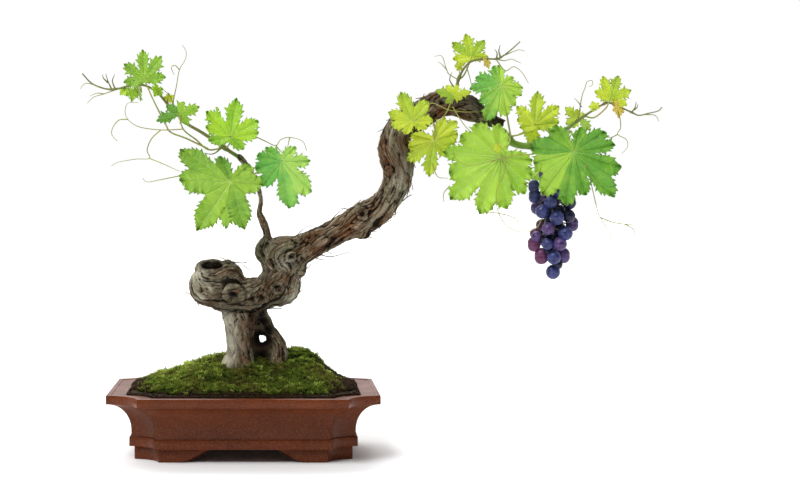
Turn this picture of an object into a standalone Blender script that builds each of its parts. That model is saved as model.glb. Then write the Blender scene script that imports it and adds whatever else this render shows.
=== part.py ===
# Grape vine bonsai in an oblong clay pot with indented corners.
# Metres, +Z up, the front faces -Y. The plant's tables are in millimetres from the middle of the
# pot's foot; at the end everything moves so that the origin is below the middle of the whole plant.
import math

import bmesh
import bpy
from mathutils import Matrix, Vector
from mathutils.bvhtree import BVHTree

MM = 0.001
GAP = 0.0003

# Pot, on a 14 inch rim
POT_LENGTH = 0.355
POT_WIDTH = 0.256
POT_HEIGHT = 0.0863
CORNER_LENGTH = 0.043
CORNER_WIDTH = 0.038
CORNER_SHRINK = 0.28
CORNER_ROUND = 0.85
CORNER_STEPS = 5
RIM_HEIGHT = 0.012
BEAD_WIDTH = 0.006
LIP_INSET = 0.0245
COVE_INSET = 0.031
COVE_HEIGHT = 0.036
COVE_STEPS = 7
COVE_BEND = 1.6
BELT_INSET = 0.0285
BELT_TOP = 0.0300
WALL_INSET = 0.040
WALL_FLARE = 0.004
WALL_BEND = 0.058
WALL_STRAIGHT = 0.042
EDGE = 0.001
FLOOR_TOP = 0.027
DRAIN_RADIUS = 0.008
DRAIN_SPACING = 0.070
DRAIN_SIDES = 16

# Feet, which end in an ogee along each side of the pot
FOOT_HEIGHT = 0.017
FOOT_INSET = 0.035
FOOT_THICKNESS = 0.012
FOOT_END = 0.0008
FOOT_FRONT_FLAT, FOOT_FRONT_REACH = 0.028, 0.066
FOOT_SIDE_FLAT, FOOT_SIDE_REACH = 0.018, 0.044
FOOT_STEPS = 4
# Each foot's name, with +1 or -1 for the pot's right or left and its front or back
FOOT_PLACES = [("front_right", 1, 1), ("front_left", -1, 1), ("back_right", 1, -1), ("back_left", -1, -1)]

# Soil and moss
SOIL_TOP = 0.0825
MOSS_INSET = 0.025
MOSS_SHOULDER = 0.087
MOSS_TOP = 0.1245
MOSS_ROUNDING = 2.1
MOSS_SQUARENESS = 2.6
MOSS_STEPS = 5
MOSS_STEP_BEND = 1.25
MOSS_TILT = 0.12
# Rises and dips of the mound as (x, y, spread, height)
MOSS_SWELLS = [
    (-0.100, 0.025, 0.038, -0.013), (0.088, 0.035, 0.028, 0.016), (0.126, 0.02, 0.024, -0.012),
    (0, -0.045, 0.04, -0.007),
]
MOSS_EDGE_CUTS = 6
MOSS_RIDGE = 0.010
POCKET_CLEARANCE = 0.0012
POCKET_WIDE = 90
POCKET_REACH = 20

# Trunk and boughs
TRUNK_FOOT_Z = 0.1043
WOOD_VOXEL = 0.0026
WOOD_FACES = 3400
LIMB_STEP = 0.007

# Leaves, tendrils and fruit
LEAF_THICKNESS = 0.021
LEAF_BULGE = 0.25
# Where a lobe's rib bends, as a share of its length, and how far back its parts lie for the leaf's reach
RIB_BEND = 0.52
RIB_SINK = 0.035
TIP_SINK = 0.03
FLANK_SINK = -0.01
SINUS_AT_STALK = 0.14
STALK_RADII = (1.2, 1.0)
STALK_LEAD = 3
STALK_SUNK = 0.18
SHOOT_RADII = (1.3, 0.9)
TENDRIL_RADII = (0.9, 0.6)
TWIG_STEP = 0.019
BERRY_SIDES = 7
CORE_SHARE = 0.86
CORE_TIP = 6
BERRY_RINGS = 4
BACK_RISE = 4
BERRY_SPREAD = 1.05
BUNCH_STALK_RADII = (1.7, 2.2)

# Wood limbs as (x, y, z, radius), from the foot outwards
LIMBS = {
    "left leg": [(-9, -3, 98, 31), (-7, -2, 118, 24), (-5, 0, 132, 19), (-6, 0, 160, 20), (-5, 0, 188, 27)],
    "right leg": [
        (38, -2, 98, 15), (45, -2, 120, 12.5), (48, -1, 134, 11), (46, 0, 147, 9),
        (40, 1, 158, 7), (31, 2, 170, 6), (24, 2, 184, 8),
    ],
    "heel": [(20, 6, 98, 23), (22, 8, 108, 16)],
    "neck": [(22, 2, 205, 20), (50, 2, 232, 22), (46, 0, 262, 25), (73, 0, 269, 21.5)],
    "junction burl": [(32, -2, 258, 12), (25, -3, 269, 12.5), (30, 0, 284, 8)],
    "lower bough": [
        (73, 0, 269, 21.5), (102, 2, 284, 18.5), (130, 2, 298, 18.5), (156, 0, 311, 22),
        (180, 0, 324, 20), (196, 1, 342, 18), (206, 2, 360, 18.5),
    ],
    "upright bough": [
        (206, 2, 360, 18.5), (208, 2, 376, 20.5), (206, 0, 394, 24), (202, 0, 412, 22),
        (208, 0, 430, 20.5), (222, 1, 444, 20),
    ],
    "head": [
        (222, 1, 444, 20), (242, 2, 455, 19), (264, 2, 467, 18.5), (288, 1, 467, 16.5),
        (304, 0, 461, 17.5), (320, 0, 452, 12.5), (338, 0, 443, 9), (349, 0, 439, 7.5),
    ],
    "cane": [
        (36, 2, 262, 10), (31, 4, 289, 5.6), (29, 6, 298, 5.7), (25, 8, 309, 6), (20, 10, 321, 4.2),
        (22, 12, 333, 3.4), (21, 14, 346, 3.4), (14, 14, 364, 3.6), (3, 12, 384, 4.2), (-5, 10, 394, 4.6),
        (-10, 8, 399, 3.4),
    ],
}
# Swellings of the wood as (x, y, z, half sizes)
LUMPS = [
    (-45, 0, 222, 30, 31, 28), (-24, 1, 226, 24, 33, 31), (10, 2, 209, 34, 34, 24),
    (45, 0, 221, 31, 31, 26),
    (-14, -4, 100, 23, 25, 16), (38, -4, 100, 14, 20, 14), (30, -30, 215, 13, 7, 13),
    (-12, -32, 214, 17, 7, 11),
    (156, -8, 312, 20, 18, 19), (100, -12, 285, 14, 12, 14), (-44, 6, 246, 23, 24, 12),
    (-25, 0, 201, 23, 24, 14),
]
# Thin back wall between the legs, the hole through it as (x, y, z, radius, half length), and the
# hollow in the knot, which opens to the front below its top
WEB = (24, 9, 146, 20, 5, 42)
EYE = (24.5, 9, 150.5, 5, 30)
HOLLOW = (-43, -15, 250, 14.5, 18, 4.5)

# The wood is parted at these planes, as a point and the direction that leads outwards
KNOT_PLANE = ((42, 0, 239), (0.40, 0, 0.917))
CANE_PLANE = ((31, 4, 290), (-0.6, 0, 0.8))
BEND_PLANE = ((202, 0, 350), (0.25, 0, 0.97))
HEAD_PLANE = ((232, 0, 450), (0.86, 0, 0.51))

# Green limb that carries the right side, as (x, y, z, radius)
SHOOT = [
    (350, 0, 427, 5), (356, 0, 420, 5), (366, 0, 413, 4.8), (385, 0, 411, 4.4), (412, 0, 419, 3.6),
    (432, 0, 432, 3.0), (446, 0, 442, 2.4),
]

# A leaf's lobes run round it from one side of the stalk to the other, as (angle in degrees seen from
# the front, length, depth of the notch after it as a share of the shorter neighbour).
PLAIN_LEAF = [(-115, 0.62, 0.62), (-55, 0.86, 0.5), (0, 1.0, 0.5), (55, 0.86, 0.62), (115, 0.62, 0)]
LEAVES = {
    "a": dict(at=(-134, -15, 500), lean=(0.15, 0.1), lobes=[
        (-8, 28, 0.6), (54, 39, 0.42), (93, 40, 0.42), (143, 34, 0.5), (190, 28, 0)]),
    "b": dict(at=(-87, -26, 454), lean=(0.3, -1.2), lobes=[
        (-55, 19, 0.6), (17, 29, 0.5), (60, 16, 0.5), (150, 18, 0.6), (200, 32, 0)]),
    "c": dict(at=(-18, -22, 422), lean=(0.1, 0.2), lobes=[
        (-45, 25, 0.7), (5, 34, 0.85), (36, 44, 0.45), (82, 54, 0.45), (130, 48, 0.85), (158, 36, 0.6),
        (195, 30, 0)]),
    "d": dict(at=(50, -14, 390), lean=(0.12, -0.1), lobes=[
        (136, 28, 0.7), (165, 33, 0.9), (197, 36, 0.9), (230, 42, 0.5), (279, 65, 0.8), (316, 58, 0.8),
        (-1, 39, 0.6), (45, 27, 0)]),
    "e": dict(at=(-17, -45, 362), lean=(0.1, 0.05), lobes=[
        (112, 37, 0.85), (147, 80, 0.85), (178, 68, 0.56), (235, 79, 0.49), (286, 66, 0.59),
        (355, 42, 0.92), (45, 34, 0)]),
    "f": dict(at=(222, -46, 442), lean=(0.1, 0.1), lobes=[
        (-28, 22, 0.8), (4, 28, 0.6), (50, 35, 0.56), (111, 42, 0.5), (159, 34, 0.8), (195, 28, 0.7),
        (242, 20, 0)]),
    "g": dict(at=(252, -34, 417), lean=(0.05, -0.05), lobes=[
        (163, 31, 0.9), (194, 35, 0.85), (217, 45, 0.47), (263, 49, 0.5), (310, 29, 0.8), (15, 33, 0.9),
        (41, 40, 0.8), (66, 34, 0)]),
    "h": dict(at=(279, -29, 477), lean=(0.2, -0.9), lobes=[
        (-20, 13, 0.6), (12, 24, 0.5), (73, 14, 0.6), (133, 17, 0.6), (165, 26, 0.6), (227, 14, 0)]),
    "i": dict(at=(307, 5, 531), lean=(-0.1, 0.15), lobes=[
        (0, 22, 0.6), (52, 29, 0.5), (103, 33, 0.5), (142, 33, 0.6), (188, 25, 0)]),
    "j": dict(at=(343, -27, 492), lean=(0.1, -0.1), lobes=[
        (100, 26, 0.9), (118, 28, 0.6), (164, 36, 0.9), (189, 44, 0.4), (246, 53, 0.85),
        (282, 42, 0.85), (305, 34, 0.58), (331, 31, 0.85), (352, 29, 0.8), (32, 19, 0)]),
    "k": dict(at=(385, -40, 437), lean=(0.15, 0.2), lobes=[
        (5, 33, 0.85), (38, 43, 0.45), (83, 47, 0.5), (133, 35, 0.85), (163, 25, 0.8), (190, 21, 0)]),
    "k small": dict(at=(385, -16, 430), lean=(0.1, 0.3), lobes=[
        (210, 13, 0.7), (250, 17, 0.6), (290, 16, 0.7), (330, 13, 0)]),
    "l": dict(at=(339, -48, 395), lean=(0.02, 0.05), lobes=[
        (91, 43, 0.85), (130, 56, 0.85), (175, 77, 0.83), (197, 73, 0.92), (220, 88, 0.58),
        (249, 81, 0.85), (277, 70, 0.6), (304, 58, 0.9), (330, 49, 0.85), (355, 42, 0)]),
    "m": dict(at=(431, -70, 401), lean=(0.02, -0.08), lobes=[
        (124, 43, 0.9), (174, 57, 0.88), (197, 54, 0.9), (234, 69, 0.72), (263, 71, 0.85),
        (287, 59, 0.58), (312, 80, 0.85), (343, 65, 0.5), (370, 55, 0.9), (394, 47, 0.85), (437, 33, 0)]),
    "n": dict(at=(454, 12, 448), lean=(0.5, -1.0), lobes=[
        (-36, 26, 0.7), (50, 9, 0.8), (122, 14, 0.6), (149, 28, 0.7), (200, 20, 0.7), (240, 14, 0)]),
    "o": dict(at=(494, -2, 475), lean=(0.15, 0.15), lobes=[
        (-25, 24, 0.6), (21, 31, 0.5), (70, 33, 0.5), (110, 32, 0.6), (160, 24, 0)]),
    "back e": dict(at=(-24, 42, 344), turn=148, heading=-95, size=46, lean=(0, -0.2)),
    "back l": dict(at=(336, 38, 384), turn=205, heading=-85, size=60, lean=(0, -0.2)),
    "back m": dict(at=(428, 36, 388), turn=152, heading=-85, size=50, lean=(0, -0.2)),
    "behind a": dict(at=(-146, 34, 486), turn=80, heading=80, size=30, lean=(0, 0.2)),
    "behind c": dict(at=(-30, 56, 428), turn=84, heading=95, size=38, lean=(0, 0.2)),
    "behind e": dict(at=(-42, 58, 362), turn=96, heading=-100, size=48, lean=(0, -0.15)),
    "behind g": dict(at=(226, 62, 428), turn=80, heading=-80, size=44, lean=(0, -0.2)),
    "behind f": dict(at=(214, 60, 462), turn=98, heading=80, size=34, lean=(0, 0.2)),
    "behind j": dict(at=(334, 44, 480), turn=96, heading=75, size=36, lean=(0, 0.2)),
    "behind l": dict(at=(322, 60, 392), turn=84, heading=-85, size=46, lean=(0, -0.15)),
    "behind m": dict(at=(446, 58, 392), turn=98, heading=-95, size=46, lean=(0, -0.15)),
    "behind o": dict(at=(492, 30, 478), turn=84, heading=70, size=24, lean=(0, 0.1)),
}

# Each mass of foliage: the limb it grows from, its stem as (radius at the root, radius at the tip,
# points), the stalks of its leaves from where they leave the stem, its side shoots and its tendrils.
MASSES = {
    "left_tip_spray": dict(
        color=(0.22, 0.42, 0.06),
        limb="left_cane",
        stem=(2.6, 0.9, [
            (-10, 8, 399), (-25, 6, 407), (-56, 2, 428), (-79, 0, 442), (-101, 0, 464), (-120, 0, 485),
            (-143, 0, 494), (-165, 0, 489), (-181, 0, 487), (-204, -3, 495), (-218, -6, 508)]),
        stalks={
            "a": [(-49, -1, 407), (-79, -6, 421), (-104, -8, 434), (-123, -10, 474)],
            "b": [(-30, 4, 410), (-49, 0, 406), (-82, -8, 433)],
            "c": [(-25, 5, 408), (-20, -12, 413)],
            "behind a": [(-140, 0, 493), (-144, 18, 486)],
            "behind c": [(-28, 6, 409), (-34, 32, 414)],
        },
        shoots=[
            [(-96, 0, 459), (-93, 5, 492), (-88, 8, 514), (-79, 6, 539), (-84, 4, 547)],
            [(-179, 0, 487), (-184, 0, 498), (-187, 0, 508)],
        ],
        tendrils=[
            [(-82, -8, 433), (-112, -9, 432), (-141, -12, 436), (-156, -12, 446), (-160, -9, 460),
             (-142, -8, 469)],
            [(-156, -12, 446), (-170, -12, 443), (-178, -8, 426), (-171, -8, 417)],
            [(-112, -9, 432), (-131, -2, 405), (-128, 0, 394), (-146, 2, 393), (-180, 6, 384)],
            [(-128, 0, 394), (-110, -20, 386), (-85, -44, 376)],
            [(-197, -2, 492), (-207, -6, 494), (-214, -10, 494), (-220, -12, 487)],
            [(-172, 0, 487), (-190, 4, 481), (-213, 10, 469)],
        ],
    ),
    "left_leaf_spray": dict(
        color=(0.24, 0.44, 0.07),
        limb="left_cane",
        stem=(1.8, 1.2, [(9, 13, 373), (10, -4, 371), (8, -16, 371)]),
        stalks={
            "d": [(10, -6, 371), (26, -8, 380), (44, -10, 390)],
            "e": [(8, -14, 371), (-4, -32, 371)],
            "behind e": [(10, -2, 370), (-6, 6, 362), (-26, 30, 360)],
            "back e": [(-6, 6, 362), (-18, 26, 358)],
        },
        shoots=[],
        tendrils=[[(44, -10, 390), (56, -10, 419), (72, -7, 419), (84, -4, 404)]],
    ),
    "crown_left_spray": dict(
        color=(0.36, 0.50, 0.05),
        limb="bough_head",
        stem=(1.7, 1.2, [(246, -18, 452), (244, -28, 450), (240, -34, 448)]),
        stalks={"f": [(242, -31, 449), (232, -42, 446)], "g": [(243, -30, 449), (253, -36, 436)]},
        shoots=[],
        tendrils=[
            [(240, -34, 447), (247, -44, 462), (287, -38, 455), (312, -30, 455)],
            [(250, -32, 386), (254, -33, 374), (271, -34, 367)],
        ],
    ),
    "crown_back_spray": dict(
        color=(0.30, 0.48, 0.06),
        limb="upright_bough",
        stem=(1.7, 1.2, [(212, 22, 436), (214, 34, 440), (216, 42, 442)]),
        stalks={"behind g": [(215, 38, 441), (222, 50, 436)], "behind f": [(214, 34, 440), (212, 46, 448)]},
        shoots=[],
        tendrils=[],
    ),
    "crown_top_spray": dict(
        color=(0.34, 0.50, 0.06),
        limb="bough_head",
        stem=(2.2, 1.0, [
            (286, 0, 484), (289, 0, 502), (302, 0, 522), (320, 0, 528), (339, 0, 528), (359, -2, 540),
            (371, -4, 551)]),
        stalks={"i": [(289, 0, 500), (300, 6, 512)], "h": [(287, 0, 492), (284, -16, 489)]},
        shoots=[[(345, 0, 531), (343, 0, 539), (345, 0, 547)]],
        tendrils=[
            [(339, 0, 528), (361, 5, 528), (374, 8, 523)],
            [(339, 0, 528), (351, -4, 512), (362, -8, 517), (373, -8, 509), (382, -6, 495)],
            [(289, 0, 500), (273, 4, 514), (267, 6, 532), (257, 6, 532)],
        ],
    ),
    "crown_middle_spray": dict(
        color=(0.26, 0.46, 0.08),
        limb="right_shoot",
        stem=(2.0, 1.4, [(357, -5, 421), (357, -15, 423), (356, -22, 421)]),
        stalks={
            "l": [(356, -19, 422), (350, -36, 410)],
            "j": [(357, -13, 423), (352, -17, 448), (347, -21, 474)],
            "k": [(357, -15, 423), (372, -30, 427)],
            "k small": [(366, -24, 426), (377, -19, 430)],
        },
        shoots=[],
        tendrils=[
            [(345, -47, 390), (341, -58, 372), (331, -60, 340), (346, -56, 304), (385, -52, 302),
             (393, -50, 315)],
            [(314, -46, 322), (333, -58, 321), (356, -60, 312), (349, -60, 306)],
            [(356, -19, 422), (366, -42, 408), (341, -58, 393), (294, -60, 383), (278, -58, 393),
             (275, -56, 403)],
        ],
    ),
    "crown_rear_spray": dict(
        color=(0.26, 0.46, 0.08),
        limb="right_shoot",
        stem=(1.8, 1.3, [(354, 5, 423), (350, 16, 424), (349, 22, 425)]),
        stalks={
            "behind l": [(350, 18, 424), (338, 42, 412)],
            "back l": [(350, 18, 424), (344, 28, 406)],
            "behind j": [(349, 20, 425), (346, 30, 446), (340, 40, 466)],
        },
        shoots=[],
        tendrils=[],
    ),
    "crown_right_spray": dict(
        color=(0.14, 0.36, 0.06),
        limb="right_shoot",
        stem=(1.7, 1.3, [(430, -3, 430), (433, -20, 430), (435, -32, 428)]),
        stalks={"m": [(434, -28, 429), (438, -50, 421), (435, -66, 410)]},
        shoots=[],
        tendrils=[
            [(446, -69, 384), (458, -54, 353), (471, -42, 315), (489, -36, 279), (491, -34, 265)],
            [(470, -42, 316), (487, -40, 309), (505, -36, 306), (533, -30, 304)],
        ],
    ),
    "right_tip_spray": dict(
        color=(0.34, 0.50, 0.06),
        limb="right_shoot",
        stem=(2.1, 0.8, [
            (446, 0, 442), (458, 0, 451), (484, 0, 467), (495, 0, 468), (522, 0, 456), (532, 0, 452),
            (563, 0, 463)]),
        stalks={
            "o": [(486, 0, 467), (491, -2, 469)],
            "n": [(450, 0, 445), (452, 6, 449)],
            "behind o": [(486, 0, 467), (489, 14, 471)],
        },
        shoots=[[(520, 0, 457), (527, 0, 463), (528, 0, 470)]],
        tendrils=[
            [(539, 0, 453), (554, 2, 452), (560, 4, 444)],
            [(450, 0, 445), (454, -4, 476), (461, -6, 497), (468, -5, 497), (463, -4, 490)],
            [(495, 0, 468), (506, -6, 442), (501, -10, 426), (513, -15, 411), (505, -18, 400)],
        ],
    ),
    "right_back_spray": dict(
        color=(0.16, 0.38, 0.06),
        limb="right_shoot",
        stem=(1.7, 1.3, [(430, 3, 430), (434, 16, 429), (437, 24, 427)]),
        stalks={"behind m": [(436, 20, 428), (444, 44, 414)], "back m": [(436, 20, 428), (430, 29, 410)]},
        shoots=[],
        tendrils=[],
    ),
}

# Bunch of grapes: where its axis passes, its stalk, and the berries that face the front as (x, z,
# radius) from the axis. As many face the back.
BUNCH_AT = (412, -20, 354)
BUNCH_STALK = [(409, 0, 414), (410, -7, 405), (412, -16, 386), (412, -20, 356)]
BUNCH_TIP = -100
BUNCH_RADII = [(12, 14), (0, 21), (-25, 24), (-60, 24), (-84, 17), (-112, 2)]
FRONT_BERRIES = [
    (-8, 14, 8.5), (12, 12, 8.5), (-25, 0, 8), (24, -2, 8.5), (3, -3, 9), (-23, -15, 8.3), (-7, -19, 8.5),
    (20, -20, 8.8), (-17, -32, 9.3), (18, -37, 9), (1, -38, 9.7), (26, -51, 8.3), (-11, -51, 8.8),
    (-23, -63, 8),
    (11, -57, 9.4), (-25, -78, 8.2), (-9, -70, 8.4), (7, -75, 9.2), (-15, -92, 9.1), (0, -93, 9.5),
    (14, -91, 8.8), (0, -112, 9.5),
]

COLORS = {
    "pot": (0.13, 0.04, 0.025), "soil": (0.02, 0.011, 0.006), "moss_mound": (0.08, 0.15, 0.015),
    "wood": (0.16, 0.11, 0.075), "right_shoot": (0.03, 0.10, 0.03), "grape_bunch": (0.05, 0.04, 0.16),
}


def clear_scene():
    for obj in list(bpy.data.objects):
        bpy.data.objects.remove(obj, do_unlink=True)


def new_collection(name):
    found = bpy.data.collections.new(name)
    bpy.context.scene.collection.children.link(found)
    return found


def material(name, color, roughness=0.7):
    made = bpy.data.materials.new(name)
    made.use_nodes = True
    shader = made.node_tree.nodes["Principled BSDF"]
    shader.inputs["Base Color"].default_value = (*color, 1)
    shader.inputs["Roughness"].default_value = roughness
    return made


def place(name, mesh, collection):
    obj = bpy.data.objects.new(name, mesh)
    collection.objects.link(obj)
    return obj


def from_bmesh(name, bm, collection):
    bmesh.ops.recalc_face_normals(bm, faces=bm.faces)
    mesh = bpy.data.meshes.new(name)
    bm.to_mesh(mesh)
    bm.free()
    return place(name, mesh, collection)


def evaluated_mesh(obj):
    """A new mesh of the object with its modifiers applied."""
    bpy.context.view_layer.update()
    graph = bpy.context.evaluated_depsgraph_get()
    return bpy.data.meshes.new_from_object(obj.evaluated_get(graph))


def bake(obj):
    """Applies the object's modifiers."""
    mesh = evaluated_mesh(obj)
    obj.modifiers.clear()
    obj.data = mesh
    return obj


def smooth_path(points, step):
    """Points about a step apart on a Catmull-Rom curve through the given ones, radii included."""
    rows = [Vector(p) for p in points]
    rows = [2 * rows[0] - rows[1]] + rows + [2 * rows[-1] - rows[-2]]
    path = []
    for a, b, c, d in zip(rows, rows[1:], rows[2:], rows[3:]):
        count = max(1, round((c.to_3d() - b.to_3d()).length * MM / step))
        for i in range(count):
            t = i / count
            bend = (2 * a - 5 * b + 4 * c - d) * t**2 + (3 * b - a - 3 * c + d) * t**3
            path.append(0.5 * (2 * b + (c - a) * t + bend))
    return path + [rows[-2]]


def tube(path, radii, resolution, collection):
    """A closed tube through the points, in metres."""
    curve = bpy.data.curves.new("tube", "CURVE")
    curve.dimensions = "3D"
    curve.bevel_depth = 1.0
    curve.bevel_resolution = resolution
    curve.use_fill_caps = True
    spline = curve.splines.new("POLY")
    spline.points.add(len(path) - 1)
    for point, spot, radius in zip(spline.points, path, radii):
        point.co = (*spot, 1)
        point.radius = radius
    guide = place("tube", curve, collection)
    mesh = evaluated_mesh(guide)
    bpy.data.objects.remove(guide, do_unlink=True)
    bpy.data.curves.remove(curve)
    bm = bmesh.new()
    bm.from_mesh(mesh)
    bmesh.ops.remove_doubles(bm, verts=bm.verts, dist=1e-6)
    return from_bmesh("tube", bm, collection)


def limb(points, resolution, collection):
    """A tapering limb from points with radii."""
    path = smooth_path(points, LIMB_STEP)
    return tube([p.to_3d() * MM for p in path], [p[3] * MM for p in path], resolution, collection)


def twig(root, tip, points, collection):
    """A thin four-sided twig that tapers evenly."""
    path = [p * MM for p in smooth_path(points, TWIG_STEP)]
    radii = [(root + (tip - root) * i / (len(path) - 1)) * MM for i in range(len(path))]
    return tube(path, radii, 0, collection)


def lump(x, y, z, rx, ry, rz, collection):
    bm = bmesh.new()
    bmesh.ops.create_icosphere(bm, subdivisions=3, radius=1)
    bm.transform(Matrix.Translation(Vector((x, y, z)) * MM) @ Matrix.Diagonal((rx * MM, ry * MM, rz * MM, 1)))
    return from_bmesh("lump", bm, collection)


def box(x, y, z, rx, ry, rz, collection):
    bm = bmesh.new()
    bmesh.ops.create_cube(bm, size=2)
    bm.transform(Matrix.Translation(Vector((x, y, z)) * MM) @ Matrix.Diagonal((rx * MM, ry * MM, rz * MM, 1)))
    return from_bmesh("box", bm, collection)


def add_boolean(obj, operation, other, solver="EXACT"):
    modifier = obj.modifiers.new(operation.lower(), "BOOLEAN")
    modifier.operation = operation
    modifier.solver = solver
    if isinstance(other, bpy.types.Collection):
        modifier.operand_type = "COLLECTION"
        modifier.collection = other
    else:
        modifier.object = other


def remove_all(objects):
    for obj in list(objects):
        bpy.data.objects.remove(obj, do_unlink=True)


# Pot
def corner_arc(inset):
    """The front right corner, hollow in plan, from the front edge to the side."""
    long_cut = CORNER_LENGTH - CORNER_SHRINK * inset
    wide_cut = CORNER_WIDTH - CORNER_SHRINK * inset
    edge_x = POT_LENGTH / 2 - inset
    edge_y = POT_WIDTH / 2 - inset
    arc = []
    for i in range(CORNER_STEPS + 1):
        turn = math.pi / 2 * i / CORNER_STEPS
        straight = i / CORNER_STEPS
        x = edge_x - long_cut * (CORNER_ROUND * math.cos(turn) + (1 - CORNER_ROUND) * (1 - straight))
        y = -edge_y + wide_cut * (CORNER_ROUND * math.sin(turn) + (1 - CORNER_ROUND) * straight)
        arc.append((x, y))
    return arc


def ring(inset, z):
    """The pot's outline in plan, moved in by the inset, at height z."""
    arc = corner_arc(inset)
    back = [(x, -y) for x, y in reversed(arc)]
    half = arc + back
    outline = half + [(-x, -y) for x, y in half]
    return [(x, y, z) for x, y in outline]


def loft(rings):
    """A bmesh skinned over rings of one length each, with both ends closed."""
    bm = bmesh.new()
    rows = [[bm.verts.new(p) for p in points] for points in rings]
    for low, high in zip(rows, rows[1:]):
        for i in range(len(low)):
            bm.faces.new((low[i - 1], low[i], high[i], high[i - 1]))
    bm.faces.new(rows[0])
    bm.faces.new(rows[-1])
    return bm


def pot_profile():
    """Inset and height of each ring, from under the belt up the outside and down the inside."""
    rim_bottom = POT_HEIGHT - RIM_HEIGHT
    foot_top = FOOT_HEIGHT + GAP
    outside = [(FOOT_INSET + EDGE, foot_top), (BELT_INSET, foot_top + EDGE), (BELT_INSET, BELT_TOP - EDGE)]
    cove = []
    for i in range(COVE_STEPS, 0, -1):
        drop = COVE_HEIGHT * (i / COVE_STEPS) ** COVE_BEND
        inset = COVE_INSET * math.sqrt(1 - (1 - drop / COVE_HEIGHT) ** 2)
        cove.append((inset, rim_bottom - drop))
    rim = [
        (2 * EDGE, rim_bottom), (0, rim_bottom + EDGE), (0, POT_HEIGHT - EDGE), (EDGE, POT_HEIGHT),
        (BEAD_WIDTH, POT_HEIGHT), (BEAD_WIDTH + EDGE, POT_HEIGHT - EDGE),
        (LIP_INSET - EDGE, POT_HEIGHT - 2 * EDGE),
    ]
    inside = [
        (LIP_INSET, POT_HEIGHT - 4 * EDGE), (WALL_INSET - WALL_FLARE, WALL_BEND), (WALL_INSET, WALL_STRAIGHT),
        (WALL_INSET, FLOOR_TOP),
    ]
    return outside + [(COVE_INSET, BELT_TOP)] + cove + rim + inside


def make_pot(parts, cutters):
    pot = from_bmesh("pot", loft([ring(inset, z) for inset, z in pot_profile()]), parts)
    for side in (-1, 1):
        bm = bmesh.new()
        size = dict(radius1=DRAIN_RADIUS, radius2=DRAIN_RADIUS, depth=2 * FLOOR_TOP - FOOT_HEIGHT)
        bmesh.ops.create_cone(bm, cap_ends=True, segments=DRAIN_SIDES, **size)
        bm.transform(Matrix.Translation((side * DRAIN_SPACING, 0, (FLOOR_TOP + FOOT_HEIGHT) / 2)))
        drain = from_bmesh(f"drain_{side}", bm, cutters)
        drain.hide_render = True
        drain.display_type = "WIRE"
        add_boolean(pot, "DIFFERENCE", drain)
    return pot


def ogee(distance, flat, reach):
    """Height of the foot's underside at this distance from the corner."""
    along = min(1, max(0, (distance - flat) / (reach - flat)))
    return (FOOT_HEIGHT - FOOT_END) * (3 * along**2 - 2 * along**3)


def foot_stations(inset):
    """Plan points and underside heights of a foot, from its front end round the corner to its side end."""
    arc = corner_arc(inset)
    stations = []
    for i in range(FOOT_STEPS, -1, -1):
        distance = FOOT_FRONT_FLAT + (FOOT_FRONT_REACH - FOOT_FRONT_FLAT) * i / FOOT_STEPS
        stations.append((arc[0][0] - distance, arc[0][1], ogee(distance, FOOT_FRONT_FLAT, FOOT_FRONT_REACH)))
    stations += [(x, y, 0) for x, y in arc]
    for i in range(FOOT_STEPS + 1):
        distance = FOOT_SIDE_FLAT + (FOOT_SIDE_REACH - FOOT_SIDE_FLAT) * i / FOOT_STEPS
        stations.append((arc[-1][0], arc[-1][1] + distance, ogee(distance, FOOT_SIDE_FLAT, FOOT_SIDE_REACH)))
    return stations


def make_feet(parts):
    feet = []
    inner = foot_stations(FOOT_INSET + FOOT_THICKNESS)
    for name, side, end in FOOT_PLACES:
        sections = []
        for (x, y, low), (inner_x, inner_y, _) in zip(foot_stations(FOOT_INSET), inner):
            corners = [(x, y, low), (x, y, FOOT_HEIGHT), (inner_x, inner_y, FOOT_HEIGHT)]
            corners.append((inner_x, inner_y, low))
            sections.append([(side * a, end * b, c) for a, b, c in corners])
        feet.append(from_bmesh(f"foot_{name}", loft(sections), parts))
    return feet


# Soil and moss
def make_soil(parts):
    profile = [
        (WALL_INSET + GAP, FLOOR_TOP + GAP), (WALL_INSET + GAP, WALL_STRAIGHT),
        (WALL_INSET - WALL_FLARE + GAP, WALL_BEND), (LIP_INSET + 3 * GAP, SOIL_TOP - EDGE),
        (LIP_INSET + 3 * GAP + EDGE, SOIL_TOP),
    ]
    return from_bmesh("soil", loft([ring(inset, z) for inset, z in profile]), parts)


def moss_height(x, y):
    """Height of the mound's top, a rounded dome over the pot's inside."""
    along = abs(x) / (POT_LENGTH / 2 - MOSS_INSET)
    across = abs(y) / (POT_WIDTH / 2 - MOSS_INSET)
    edge = min(1, (along**MOSS_SQUARENESS + across**MOSS_SQUARENESS) ** (1 / MOSS_SQUARENESS))
    rise = (MOSS_TOP - MOSS_SHOULDER) * (1 - edge**MOSS_ROUNDING)
    for swell_x, swell_y, spread, height in MOSS_SWELLS:
        away = (x - swell_x) ** 2 + (y - swell_y) ** 2
        rise += height * math.exp(-away / (2 * spread**2)) * min(1, 3 * (1 - edge))
    return MOSS_SHOULDER + rise + MOSS_TILT * y * min(1, 3 * (1 - edge))


def cut_long_edges(outline):
    """The outline with even points added along its front and back edges."""
    points = []
    for (x, y, z), (next_x, next_y, _) in zip(outline, outline[1:] + outline[:1]):
        run = abs(next_x - x)
        cuts = MOSS_EDGE_CUTS if run > 4 * abs(next_y - y) and run > POT_LENGTH / 5 else 1
        for i in range(cuts):
            points.append((x + (next_x - x) * i / cuts, y + (next_y - y) * i / cuts, z))
    return points


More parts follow.
